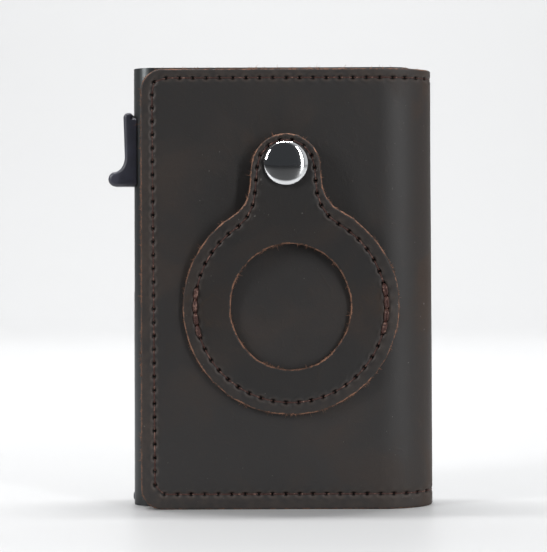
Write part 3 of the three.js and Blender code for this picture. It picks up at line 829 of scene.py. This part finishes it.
def cover_rows(spacing, fine):
    """Heights of the grid rows, closer together where the seams run along the bottom and the top."""
    low, high = SEAM_BOTTOM + SEAM_BEND + 0.15, SEAM_TOP - SEAM_BEND
    parts = [spaced(0, low, fine)[:-1], spaced(low, high, spacing)[:-1], spaced(high, HEIGHT, fine)]
    return np.concatenate(parts)


def panel_grid(width, rows, spacing, mirrored):
    """The outline of a panel with two round corners at its free edge, as a function of its inset. Column
    distances follow the corner's arc and then run evenly; each column is as tall as the outline is there.
    A mirrored panel is measured back from the far end of the cover."""
    turn = np.linspace(0, np.pi / 2, 22)[:-1]
    flat = spaced(CORNER, width, spacing)

    def outline_at(inset):
        radius = CORNER - inset
        s = np.concatenate([CORNER - radius * np.cos(turn), flat])
        round_half = MIDDLE_Z - CORNER + radius * np.sin(turn)
        half = np.concatenate([round_half, np.full(len(flat), MIDDLE_Z - inset)])
        z = MIDDLE_Z + (rows[:, None] - MIDDLE_Z) * half / MIDDLE_Z
        s = np.broadcast_to(s, z.shape)
        return (COVER.length - s[:, ::-1], z[:, ::-1]) if mirrored else (s, z)

    return outline_at


def spine_grid(start, stop, rows, spacing):
    """The outline of the strip round the spine, cut square at both ends, as a function of its inset."""
    s = spaced(start, stop, spacing)

    def outline_at(inset):
        z = MIDDLE_Z + (rows - MIDDLE_Z) * (MIDDLE_Z - inset) / MIDDLE_Z
        return np.broadcast_to(s, (len(rows), len(s))), np.broadcast_to(z[:, None], (len(rows), len(s)))

    return outline_at


def cover_grids(spacing, fine):
    """The outlines of the cover's three pieces, from the flap to the back."""
    rows = cover_rows(spacing, fine)
    return (
        panel_grid(SPLIT_FRONT, rows, spacing, False),
        spine_grid(SPLIT_FRONT, SPLIT_BACK, rows, spacing),
        panel_grid(COVER.length - SPLIT_BACK, rows, spacing, True),
    )


class WALLET_OT_cover(bpy.types.Operator):
    """Makes the folded outer leather in three pieces that meet round the spine"""

    bl_idname = "wallet.cover"
    bl_label = "Leather cover"

    def execute(self, context):
        lines = cover_seam(seams().cover_pitch / MM)
        hole = seams().hole / MM
        pitch = lines[0].pitch

        def relief(s, z):
            count, across = measure_seam(lines, s, z)
            return seam_relief(count, across, pitch, hole) + wander(s * 0.35, z * 0.35, 0.05, 11)

        names = ("flap_cover", "spine_cover", "back_cover")
        nodes = (("flap_leather",), ("spine_leather_front",), ("spine_leather_back", "back_leather"))
        rounding = edges().rounding / MM
        for zone, (name, outline_at) in enumerate(zip(names, cover_grids(0.42, 0.31))):
            points, faces, (s, z, edge) = shell(outline_at, COVER.place, LEATHER, rounding, relief)
            count, across = measure_seam(lines, s, z)
            values = {"stitch": count, "across": across, "edge": edge}
            piece = make_piece(name, points, faces, finish_of("cover_leather"), values)
            ride_cover(piece, zone)
            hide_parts(*nodes[zone])
        return {"FINISHED"}


class WALLET_OT_lining(bpy.types.Operator):
    """Makes the lining of the cover and the card pockets inside the flap"""

    bl_idname = "wallet.lining"
    bl_label = "Lining and card pockets"

    def execute(self, context):
        names = ("flap_lining_sheet", "spine_lining_sheet", "back_lining_sheet")
        nodes = (("flap_lining",), ("spine_lining_front",), ("spine_lining_back", "back_lining"))

        def place(s, z, depth):
            return COVER.place(s, z, depth + LINING_DEPTH)

        def relief(s, z):
            return np.zeros(np.shape(s))

        for zone, (name, outline_at) in enumerate(zip(names, cover_grids(1.1, 0.9))):
            points, faces, (s, z, edge) = shell(outline_at, place, LINING, 0.2, relief)
            piece = make_piece(name, points, faces, finish_of("lining_leather"), {"edge": edge})
            ride_cover(piece, zone, LINING_DEPTH + LINING / 2)
            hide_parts(*nodes[zone])
        for node in ("card_pocket_rear", "card_pocket_front"):
            finish_solid(node, "lining_leather", 0.2)
        return {"FINISHED"}


# ---- Stitches ----

THREAD_SIDES, THREAD_RINGS = 8, 9


def stitch_tubes(starts, ends, place, radius, rise, dive, lean, inset):
    """One thread from each start hole to its end hole. Its middle line runs straight from hole to hole, less
    the inset's share at each end, and stands at rise, falling to -dive at both ends by the fourth power of
    the distance from the middle; a circle is carried along it. lean pushes a stitch's middle sideways."""
    share = np.linspace(0, 1, THREAD_RINGS)
    arch = 1 - (2 * share - 1) ** 4
    span = ends - starts
    starts, span = starts + inset * span, (1 - 2 * inset) * span
    way = span / np.hypot(*span.T)[:, None]
    side = np.stack([-way[:, 1], way[:, 0]], axis=1)
    turn = np.linspace(0, WHOLE_TURN, THREAD_SIDES, endpoint=False)
    centre = starts[:, None] + span[:, None] * share[:, None] + side[:, None] * (lean * arch)[:, None]
    ring = centre[:, :, None] + side[:, None, None] * (radius * np.cos(turn))[:, None]
    height = (-dive + (dive + rise) * arch)[:, None] + radius * np.sin(turn)
    points = np.stack(place(ring[..., 0], ring[..., 1], -height[None]), axis=-1)
    return points, tube_faces(len(starts), THREAD_RINGS, THREAD_SIDES)


def add_stitches(name, pairs, place, rise, radius=None, lean=0.0, dive=0.45, inset=0.08):
    """A run of stitches as one piece. pairs holds all their start holes and all their end holes."""
    starts, ends = pairs
    radius = radius or seams().thread / MM
    points, faces = stitch_tubes(starts, ends, place, radius, rise, dive, lean, inset)
    return make_piece(name, points, faces, finish_of("waxed_thread"))


def pairs_of(holes, keep):
    """The stitches of a closed loop of holes whose middles pass a test, as their start and end holes."""
    ends = np.roll(holes, -1, axis=0)
    chosen = keep((holes + ends) / 2)
    return holes[chosen], ends[chosen]


def of_zone(zone):
    """A test for stitches whose middles lie on one of the cover's three pieces."""
    low, high = (-math.inf, SPLIT_FRONT, SPLIT_BACK, math.inf)[zone : zone + 2]
    return lambda middle: (middle[:, 0] >= low) & (middle[:, 0] < high)


class WALLET_OT_cover_seam(bpy.types.Operator):
    """Makes the stitches round the cover, outside and inside"""

    bl_idname = "wallet.cover_seam"
    bl_label = "Cover seam"

    def execute(self, context):
        holes = hole_loop(cover_seam(seams().cover_pitch / MM))
        names = ("flap_stitches", "spine_stitches", "back_stitches")
        nodes = (("flap_thread",), (), ("back_thread",))
        for zone, name in enumerate(names):
            piece = add_stitches(name, pairs_of(holes, of_zone(zone)), COVER.place, rise=-0.2)
            ride_cover(piece, zone)
            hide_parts(*nodes[zone])
        self.add_inside(holes)
        return {"FINISHED"}

    @staticmethod
    def add_inside(holes):
        """The same seam where it shows on the inside, over the card pockets and the lining."""
        highs = [box_mm(node)[1] for node in ("card_pocket_front", "card_pocket_rear")]
        front_end, rear_end = (high[0] - FREE_X for high in highs)
        front_floor, rear_floor = (high[1] - FLAP_FACE for high in highs)
        lining_floor = LINING_DEPTH + LINING

        def place(s, z, depth):
            middle = s.mean(axis=(1, 2), keepdims=True)
            past_front = np.where(middle < rear_end, rear_floor, lining_floor)
            floor = np.where(middle < front_end, front_floor, past_front)
            return COVER.place(s, z, floor - depth)

        for zone, name in enumerate(("flap_inside_stitches", "spine_inside_stitches")):
            starts, ends = pairs_of(holes, of_zone(zone))
            piece = add_stitches(name, (ends, starts), place, rise=0.1, dive=0.3)
            ride_cover(piece, zone, lining_floor)


# ---- The tracker pocket ----


def fillet_centre(side, ring_radius, tab_radius, fillet):
    """The centre of the fillet that joins the tab's side to the ring: at the fillet's radius from the side's
    line, slid down along it until it is the two radii from the ring's centre."""
    normal = np.array([side * math.cos(TAPER), math.sin(TAPER)])
    down = np.array([side * math.sin(TAPER), -math.cos(TAPER)])
    start = np.array([TAB_X - RING_X, TAB_Z - RING_Z]) + normal * (tab_radius + fillet)
    along = start @ down
    reach = ring_radius + fillet
    centre = start + down * (-along - math.sqrt(along**2 - start @ start + reach**2))
    return centre + (RING_X, RING_Z), math.atan2(centre[1], centre[0])


def keyhole(ring_radius, tab_radius, fillet, step):
    """The keyhole outline anticlockwise from the right of the tab's round top, as points and outward normals:
    the top's arc, the left side and its fillet, the ring's arc, the right fillet and side."""
    (left, left_turn), (right, right_turn) = (
        fillet_centre(side, ring_radius, tab_radius, fillet) for side in (-1, 1)
    )
    arcs = (
        ((TAB_X, TAB_Z), tab_radius, TAPER, math.pi - TAPER, 1),
        (left, fillet, -TAPER, left_turn - math.pi, -1),
        ((RING_X, RING_Z), ring_radius, left_turn, right_turn + WHOLE_TURN, 1),
        (right, fillet, right_turn + math.pi, math.pi + TAPER, -1),
    )
    points, normals = [], []
    for number, (centre, radius, start, end, facing) in enumerate(arcs):
        turn = np.linspace(start, end, math.ceil(abs(end - start) * radius / step) + 1)
        way = np.stack([np.cos(turn), np.sin(turn)], axis=1)
        points.append(np.array(centre) + radius * way)
        normals.append(facing * way)
        if number in (0, 3):  # the tab's sides follow its round top and come before it
            side = straight_side(points[-1][-1], arcs[(number + 1) % len(arcs)], step)
            points.append(side)
            normals.append(np.broadcast_to(normals[-1][-1], side.shape))
    return np.concatenate(points)[:-1], np.concatenate(normals)[:-1]


def straight_side(start, following, step):
    """Points on the straight line from a point to the start of the following arc, without its two ends."""
    centre, radius, turn = following[:3]
    target = np.array(centre) + radius * np.array([math.cos(turn), math.sin(turn)])
    count = math.ceil(np.hypot(*(target - start)) / step)
    return start + (target - start) * np.linspace(0, 1, count + 1)[1:-1, None]


def pocket_lift(z):
    """How far the pocket stands off the flap: sewn flat at the ring, and raised smoothly to the snap."""
    share = np.clip((z - RING_Z) / (TAB_LEVEL - RING_Z), 0, 1)
    return LOW_LIFT + (HIGH_LIFT - LOW_LIFT) * share * share * (3 - 2 * share)


def pocket_place(x, z, depth):
    """A point so deep below the pocket's face at (x, z). The pocket lies over the cover and bends with it
    where that begins to round into the spine."""
    return COVER.place(x - FREE_X, z, depth - pocket_lift(z) - LEATHER)


FILLET = 8.5  # between the ring and the tab's sides
SEAM_FILLET = 10.2
RING_MARGIN, TAB_MARGIN = 2.75, 1.35  # from the outline in to the seam
TACK_REACH = 5.5  # the seam is doubled so far above and below the ring's middle
TACK_RADIUS = 0.27
SNAP_DENT = 0.2  # how deep the snap presses the leather in under its cap
POCKET_STEP = 0.42
POCKET_ROWS = 56


def pocket_seam(pitch):
    """The two halves of the pocket's seam, each from the top of the tab down one side to the ring's lowest
    point."""
    outline, _ = keyhole(RING_RADIUS - RING_MARGIN, TAB_RADIUS - TAB_MARGIN, SEAM_FILLET, 0.6)
    top, bottom = np.argmax(outline[:, 1]), np.argmin(outline[:, 1])
    outline = np.roll(outline, -top, axis=0)
    bottom = (bottom - top) % len(outline)
    left = outline[: bottom + 1]
    right = np.concatenate([outline[bottom:], outline[:1]])[::-1]
    return SeamLine(left, pitch, -1), SeamLine(right, pitch, 1)


def ride_pocket(piece):
    """Bakes a piece of the pocket's placing into its mesh; the ends of the tab's fold line are worked out but
    not used.
    """
    start, end = (
        np.array(pocket_place(np.array(RING_X), np.array(RING_Z), LEATHER), float) + (0, 0, shift)
        for shift in (-FOLD_SPAN, FOLD_SPAN)
    )
    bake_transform(piece)


def pocket_grid(inset, rows):
    """The pocket's grid of (x, z), drawn in by inset: straight lines from the window to the outline, each
    along a ray from the ring's centre."""
    outline, normals = keyhole(RING_RADIUS, TAB_RADIUS, FILLET, POCKET_STEP)
    wobble = wander(outline[:, 0] * 2, outline[:, 1] * 2, 0.07, 3) + ragged(outline[:, 0], outline[:, 1], 4)
    outer = outline - normals * (inset + wobble)[:, None]
    turn = np.arctan2(outline[:, 1] - RING_Z, outline[:, 0] - RING_X)
    way = np.stack([np.cos(turn), np.sin(turn)], axis=1)
    reach = 1 / np.hypot(way[:, 0] / WINDOW[0], way[:, 1] / WINDOW[1])
    uneven = wander(way[:, 0] * 25, way[:, 1] * 25, 0.08, 7) + ragged(way[:, 0] * 13, way[:, 1] * 13, 8)
    inner = np.array([RING_X, RING_Z]) + way * (reach + inset + uneven)[:, None]
    share = np.linspace(0, 1, rows)[:, None, None]
    return inner + (outer - inner) * share


class WALLET_OT_pocket(bpy.types.Operator):
    """Makes the keyhole leather of the tracker pocket, its backing and its seam"""

    bl_idname = "wallet.pocket"
    bl_label = "Tracker pocket"

    def execute(self, context):
        lines = pocket_seam(seams().pocket_pitch / MM)
        self.add_leather(lines)
        self.add_seam(lines)
        finish_solid("tracker_tab_backing", "lining_leather", 0.12)
        return {"FINISHED"}

    @staticmethod
    def add_leather(lines):
        """One ring-shaped surface: its section runs over the face from the window to the outline, round the
        outer edge, back over the underside and round the window's edge."""
        rounding = edges().rounding / MM
        pitch, hole = lines[0].pitch, seams().hole / MM
        sheet = pocket_grid(rounding, POCKET_ROWS)
        steps = edge_steps(LEATHER, rounding)[:-1]
        outer = [(pocket_grid(inset, 2)[1], depth) for inset, depth in steps]
        inner = [(pocket_grid(inset, 2)[0], depth) for inset, depth in steps[::-1]]
        flat = [*sheet, *(row for row, _ in outer), *sheet[::-1], *(row for row, _ in inner)]
        outer_depth, inner_depth = ([depth for _, depth in rows] for rows in (outer, inner))
        depth = [0] * POCKET_ROWS + outer_depth + [LEATHER] * POCKET_ROWS + inner_depth
        flat, depth = np.array(flat), np.array(depth, float)[:, None]
        edge = rawness(depth, LEATHER, rounding)
        x, z = flat[..., 0], flat[..., 1]
        count, across = measure_seam(lines, x, z)
        from_snap = np.hypot(x - SNAP_X, z - SNAP_Z)
        relief = seam_relief(count, across, pitch, hole) - SNAP_DENT * hump(from_snap, CAP_RADIUS + 0.6, 8)
        relief += wander(x * 0.5, z * 0.5, 0.07, 23)
        points = np.stack(pocket_place(x, z, depth - relief * (1 - depth / LEATHER)), axis=-1)
        index = np.arange(x.size).reshape(x.shape)
        faces = grid_faces(index, close_rows=True, close_columns=True)[:, ::-1].tolist()
        values = {"stitch": count, "across": across, "edge": np.broadcast_to(edge, x.shape)}
        piece = make_piece("pocket_keyhole", points, faces, finish_of("pocket_leather"), values)
        ride_pocket(piece)
        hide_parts("tracker_pocket_front", "tracker_tab_leather")

    @staticmethod
    def add_seam(lines):
        """The pocket's stitches, and the tacks that double the seam on both sides of the ring."""
        holes = hole_loop(lines)
        pairs = pairs_of(holes, lambda middle: np.ones(len(middle), bool))
        piece = add_stitches("pocket_stitches", pairs, pocket_place, rise=-0.2)
        ride_pocket(piece)
        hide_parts("tracker_pocket_thread", "tracker_tab_thread")

        def doubled(middle):
            beside = np.abs(middle[:, 0] - RING_X) > 0.8 * RING_RADIUS
            return beside & (np.abs(middle[:, 1] - RING_Z) < TACK_REACH)

        pairs = pairs_of(holes, doubled)
        for name, rise, lean in (("pocket_tacks_outer", 0.10, 0.28), ("pocket_tacks_inner", 0.16, -0.2)):
            tacks = add_stitches(name, pairs, pocket_place, rise, TACK_RADIUS, lean, inset=0.0)
            ride_pocket(tacks)


# ---- The snap ----


class WALLET_OT_snap(bpy.types.Operator):
    """Makes the chromed snap cap, its socket, its stud and its post"""

    bl_idname = "wallet.snap"
    bl_label = "Snap fastener"

    def execute(self, context):
        self.add_cap()
        for node in ("snap_socket", "snap_stud", "snap_post"):
            finish_solid(node, "spring_steel", 0.08)
        return {"FINISHED"}

    @staticmethod
    def add_cap():
        """A dome that is part of an ellipse, rolled round at its rim and turned in underneath."""
        front, foot = CAP_LOW[1], CAP_HIGH[1]
        rim_y = TAB_LOW[1] - 0.05
        roll, shank = 0.42, 1.4
        centre_y = rim_y - roll
        crown = centre_y - front
        flat = CAP_RADIUS - roll
        turn = np.linspace(0, np.pi / 2, 20)
        dome_radius = flat * np.sin(turn) + roll * np.sin(turn) ** 5
        dome_y = centre_y - crown * np.cos(turn)
        under = np.linspace(0, np.pi / 2, 6)[1:]
        rim_radius = flat + roll * np.cos(under)
        rim = np.stack([rim_radius, centre_y + roll * np.sin(under)], axis=1)
        under_cap = [[shank, rim_y], [shank, foot], [0, foot]]
        profile = np.concatenate([np.stack([dome_radius, dome_y], axis=1), rim, under_cap])
        piece = lathe("snap_dome", profile, SNAP_X, SNAP_Z, finish_of("bright_chrome"))
        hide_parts("snap_cap")
        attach(piece, "tracker_tab")


# ---- The card case and its ejector ----


class WALLET_OT_case(bpy.types.Operator):
    """Finishes the card case and what is fixed in it"""

    bl_idname = "wallet.case"
    bl_label = "Card case"

    def execute(self, context):
        finish_solid("case_shell", "anodised_case", 0.15, flatten=None)
        parts = (
            ("case_end_cap", "moulded_plastic", "plastic", 0.2),
            ("guide_rail", "moulded_plastic", "plastic", 0.15),
            ("felt_strip_front", "wool_felt", "felt", 0.15),
            ("felt_strip_back", "wool_felt", "felt", 0.15),
            ("card_brake_spring", "spring_steel", "steel", 0.05),
            ("mounting_tape", "foam_tape", "tape", 0.1),
            ("keeper_plate", "spring_steel", "steel", 0.1),
            ("flap_magnet_lower", "spring_steel", "steel", 0.12),
            ("flap_magnet_upper", "spring_steel", "steel", 0.12),
        )
        for node, finish, slot, bevel in parts:
            finish_solid(node, finish, bevel)
        return {"FINISHED"}


class WALLET_OT_ejector(bpy.types.Operator):
    """Finishes the thumb slider and the stepped card pusher"""

    bl_idname = "wallet.ejector"
    bl_label = "Ejector"

    def execute(self, context):
        finish_solid("thumb_slider", "moulded_plastic", 0.12)
        finish_solid("card_pusher", "moulded_plastic", 0.15)
        return {"FINISHED"}


# ---- Loose fibres ----

FIBRE_SIDES, FIBRE_RINGS = 3, 4
CLUMP = 5  # fibres that stand together
LOWEST = 0.03  # clear of the surface that the wallet stands on


def fibre_tubes(roots, ways, lengths, place, draw):
    """Fine bent fibres. Each is a tapering triangular tube: its middle line leaves the root along its way, in
    the sheet's plane and out of it, and curls by the square of the distance."""
    count = len(roots)
    share = np.linspace(0, 1, FIBRE_RINGS)[None, :, None]
    curl = draw.normal(0, 0.35, (count, 1, 3))
    middle = roots[:, None] + lengths[:, None, None] * (ways[:, None] * share + curl * share**2)
    width = draw.uniform(0.04, 0.11, (count, 1, 1)) * (1.05 - share)
    turn = np.linspace(0, WHOLE_TURN, FIBRE_SIDES, endpoint=False)
    across = np.stack([-ways[:, 1], ways[:, 0], np.zeros(count)], axis=1)
    up = np.cross(ways, across)
    circle = across[:, None, None] * np.cos(turn)[:, None] + up[:, None, None] * np.sin(turn)[:, None]
    points = middle[:, :, None] + circle * width[..., None]
    height = np.maximum(points[..., 1], LOWEST)
    placed = np.stack(place(points[..., 0], height, -points[..., 2]), axis=-1)
    return placed, tube_faces(count, FIBRE_RINGS, FIBRE_SIDES)


def add_fibres(name, outline, normals, place, thickness, seed):
    """Fibres along a cut edge given by its points and outward normals in the sheet's plane. They stand in
    clumps, lean along the edge and a little out of the plane, and most are short."""
    draw = np.random.default_rng(seed)
    steps = np.hypot(*np.diff(outline, axis=0).T)
    at = np.concatenate([[0], np.cumsum(steps)])
    count = int(at[-1] / 10 * edges().fibres)
    clump = np.repeat(draw.uniform(0, at[-1], count), CLUMP)[:count]
    where = np.clip(clump + draw.normal(0, 0.22, count), 0, at[-1])
    root = np.stack([np.interp(where, at, outline[:, i]) for i in (0, 1)], axis=1)
    normal = np.stack([np.interp(where, at, normals[:, i]) for i in (0, 1)], axis=1)
    tangent = np.stack([-normal[:, 1], normal[:, 0]], axis=1)
    clump_lean = np.repeat(draw.normal(0, 0.7, count), CLUMP)[:count, None]
    lean = clump_lean + draw.normal(0, 0.45, (count, 1))
    flat_way = normal + tangent * lean
    out_way = draw.normal(0.1, 0.35, count)
    ways = np.concatenate([flat_way, out_way[:, None]], axis=1)
    ways /= np.linalg.norm(ways, axis=1)[:, None]
    depth = draw.uniform(0.15, 0.75, count) * thickness
    roots = np.concatenate([root - normal * 0.08, -depth[:, None]], axis=1)
    longest = edges().fibre_length / MM
    lengths = longest * (0.12 + 0.88 * draw.beta(1.0, 4.5, count))
    points, faces = fibre_tubes(roots, ways, lengths, place, draw)
    piece = make_piece(name, points, faces, finish_of("loose_fibre"))
    shape_up(piece, MERGE_FIBRE)
    return piece


def panel_outline(mirrored):
    """The cut edge of a panel from the bottom of the spine to its top, with its outward normals."""
    corner_low = arc((CORNER, CORNER), CORNER, 270, 180, 12)
    corner_high = arc((CORNER, HEIGHT - CORNER), CORNER, 180, 90, 12)
    normal_low, normal_high = arc((0, 0), 1, 270, 180, 12), arc((0, 0), 1, 180, 90, 12)
    points = np.concatenate([[[SPLIT_FRONT, 0]], corner_low, corner_high, [[SPLIT_FRONT, HEIGHT]]])
    normals = np.concatenate([[[0, -1]], normal_low, normal_high, [[0, 1]]])
    if mirrored:
        points[:, 0] = COVER.length - points[:, 0]
        normals[:, 0] *= -1
    return points, normals


class WALLET_OT_fibres(bpy.types.Operator):
    """Makes the loose fibres that stand out of the cut edges"""

    bl_idname = "wallet.fibres"
    bl_label = "Edge fibres"

    def execute(self, context):
        for name, zone, mirrored, seed in (("flap_fibres", 0, False, 41), ("back_fibres", 2, True, 42)):
            outline, normals = panel_outline(mirrored)
            piece = add_fibres(name, outline, normals, COVER.place, LEATHER, seed)
            ride_cover(piece, zone)
        outline, normals = keyhole(RING_RADIUS, TAB_RADIUS, FILLET, 0.6)
        turn = np.linspace(0, WHOLE_TURN, 120)
        way = np.stack([np.cos(turn), np.sin(turn)], axis=1)
        window = np.array([RING_X, RING_Z]) + way * WINDOW
        for name, line, out, seed in (
            ("keyhole_fibres", outline, normals, 43),
            ("window_fibres", window, -way, 44),
        ):
            piece = add_fibres(name, line, out, pocket_place, LEATHER, seed)
            ride_pocket(piece)
        return {"FINISHED"}


# ---- The stage ----

FLOOR_FRONT, FLOOR_END, WALL_BEND, WALL_TOP, FLOOR_SIDE = -1500, 700, 500, 1200, 1800
PAINTED_SHADE_END = (-112, -76)  # where the floor's painted shade fades out towards the wallet
PAINTED_SHADE_SIDE = (-10, 60)  # and towards the right, along a slanting line
LENS = 114.9
CAMERA_PLACE = (0.86, -405.85, 62.8)
CAMERA_TILT = 1.2  # degrees above level
CAMERA_ROLL = -0.2  # degrees
CAMERA_SHIFT = -0.1467  # the framing, in picture widths
LIGHTS = (  # name, place, what it points at, width and height, and power in watts
    ("key_light", (340, -440, 330), (0, -80, 330), (50, 640), 2.1),
    ("top_light", (-30, 52, 620), (-30, 40, 50), (420, 40), 3.7),
    ("wall_light", (0, 300, 760), (0, 1150, 260), (1600, 300), 16.2),
    ("left_light", (-400, -230, 290), (0, 0, 60), (90, 240), 1.5),
)


class WALLET_OT_stage(bpy.types.Operator):
    """Makes the floor, the lights and the camera"""

    bl_idname = "wallet.stage"
    bl_label = "Studio"

    def execute(self, context):
        self.add_sweep()
        self.add_world()
        self.add_lights()
        self.add_camera()
        bpy.context.scene.view_settings.view_transform = "Standard"
        return {"FINISHED"}

    @staticmethod
    def add_sweep():
        """A floor that turns up into a back wall: flat, then a quarter circle, then upright. It is painted
        dark in front of the stretch that the camera sees, a painted shade that gives the metal something dark
        to mirror."""
        turn = np.linspace(0, np.pi / 2, 24)
        wall = FLOOR_END + WALL_BEND
        y = np.concatenate([[FLOOR_FRONT, 0], FLOOR_END + WALL_BEND * np.sin(turn), [wall]])
        z = np.concatenate([[0, 0], WALL_BEND * (1 - np.cos(turn)), [WALL_TOP]])
        x = np.array([-FLOOR_SIDE, FLOOR_SIDE], float)
        points = np.stack(np.broadcast_arrays(x[None], y[:, None], z[:, None]), axis=-1)
        index = np.arange(len(y) * 2).reshape(len(y), 2)
        tree = start_material("studio_floor")
        where = tree.millimetres()
        mottle = tree.noise(where, 0.01, 2.0)
        tone = colours().floor
        x, y = tree.axes(where, "XY")
        # near is the painted shade's mask: 1 in front, fading out towards the wallet and the right
        near = tree.ease(y, *PAINTED_SHADE_END, 1.0, 0.0) * tree.ease(x + 0.75 * y, *PAINTED_SHADE_SIDE, 1.0, 0.0)
        base = tree.mix(mottle * 0.06, tone, scaled(tone, 0.95))
        # painted shade: the floor in front of the wallet is painted nearly black
        base = tree.mix(near, base, scaled(tone, 0.1))
        material = tree.surface(base_color=base, roughness=0.42 + 0.05 * mottle)
        sweep = make_piece("studio_sweep", points, grid_faces(index).tolist(), material)

    @staticmethod
    def add_world():
        """A pale room that is darker on the side that the wallet's front faces, above all in reflections."""
        world = bpy.data.worlds.new("studio")
        bpy.context.scene.world = world
        tree = Tree(world)
        way = tree.node("ShaderNodeTexCoord", output="Generated")
        across, along = tree.axes(way, "XY")
        behind = tree.ease(along + 0.6 * across, -0.55, 0.05)
        kinds = ("Is Camera Ray", "Is Glossy Ray")
        seen, mirrored = (tree.node("ShaderNodeLightPath", output=kind) for kind in kinds)
        front = tree.mix(mirrored, (0.17, 0.175, 0.18), (0.040, 0.042, 0.045))
        room = tree.mix(behind, front, (0.58, 0.59, 0.60))
        shown = tree.mix(seen, room, (0.88, 0.89, 0.90))
        light = tree.node("ShaderNodeBackground", None, {"Color": shown, "Strength": 1.0})
        tree.node("ShaderNodeOutputWorld", None, {"Surface": light})

    @staticmethod
    def add_lights():
        """A tall narrow light at the front right, a wide one overhead, one that lights the back wall, and a
        weak one at the left."""
        for name, place, aim, size, power in LIGHTS:
            data = bpy.data.lights.new(name, "AREA")
            data.shape = "RECTANGLE"
            data.size, data.size_y = size[0] * MM, size[1] * MM
            data.energy = power
            lamp = bpy.data.objects.new(name, data)
            lamp.location = Vector(place) * MM
            lamp.rotation_euler = (Vector(aim) - Vector(place)).to_track_quat("-Z", "Y").to_euler()
            bpy.context.scene.collection.objects.link(lamp)

    @staticmethod
    def add_camera():
        """A long lens in front of the flap, a little above its middle and tilted slightly up."""
        data = bpy.data.cameras.new("camera")
        data.sensor_width = 36.0
        data.lens = LENS
        data.shift_y = CAMERA_SHIFT
        data.clip_start, data.clip_end = 0.02, 20.0
        camera = bpy.data.objects.new("camera", data)
        tilt = Euler((math.radians(90 + CAMERA_TILT), 0, 0)).to_matrix().to_4x4()
        roll = Matrix.Rotation(math.radians(CAMERA_ROLL), 4, "Z")
        camera.matrix_world = Matrix.Translation(Vector(CAMERA_PLACE) * MM) @ tilt @ roll
        bpy.context.scene.collection.objects.link(camera)
        bpy.context.scene.camera = camera


# ---- The add-on ----

OPERATORS = (
    WALLET_OT_stage,
    WALLET_OT_cover,
    WALLET_OT_cover_seam,
    WALLET_OT_lining,
    WALLET_OT_pocket,
    WALLET_OT_snap,
    WALLET_OT_case,
    WALLET_OT_ejector,
    WALLET_OT_fibres,
)


class WALLET_PT_panel(bpy.types.Panel):
    """The wallet's settings and the buttons that build its pieces"""

    bl_label = "Card Wallet"
    bl_idname = "WALLET_PT_panel"
    bl_space_type = "VIEW_3D"
    bl_region_type = "UI"
    bl_category = "Card Wallet"

    def draw(self, context):
        for group in SETTINGS:
            settings = getattr(context.scene, group)
            box = self.layout.box()
            for key in settings.__annotations__:
                box.prop(settings, key)
        for operator in OPERATORS:
            self.layout.operator(operator.bl_idname)


CLASSES = (*SETTINGS.values(), *OPERATORS, WALLET_PT_panel)


def register():
    """Registers the classes and the scene's settings."""
    for cls in CLASSES:
        bpy.utils.register_class(cls)
    for name, group in SETTINGS.items():
        setattr(bpy.types.Scene, name, PointerProperty(type=group))


def unregister():
    """Takes the settings and the classes away again."""
    for name in SETTINGS:
        delattr(bpy.types.Scene, name)
    for cls in reversed(CLASSES):
        bpy.utils.unregister_class(cls)


def main():
    """Builds every piece."""
    register()
    for operator in OPERATORS:
        group, name = operator.bl_idname.split(".")
        getattr(getattr(bpy.ops, group), name)()


if __name__ == "__main__":
    main()
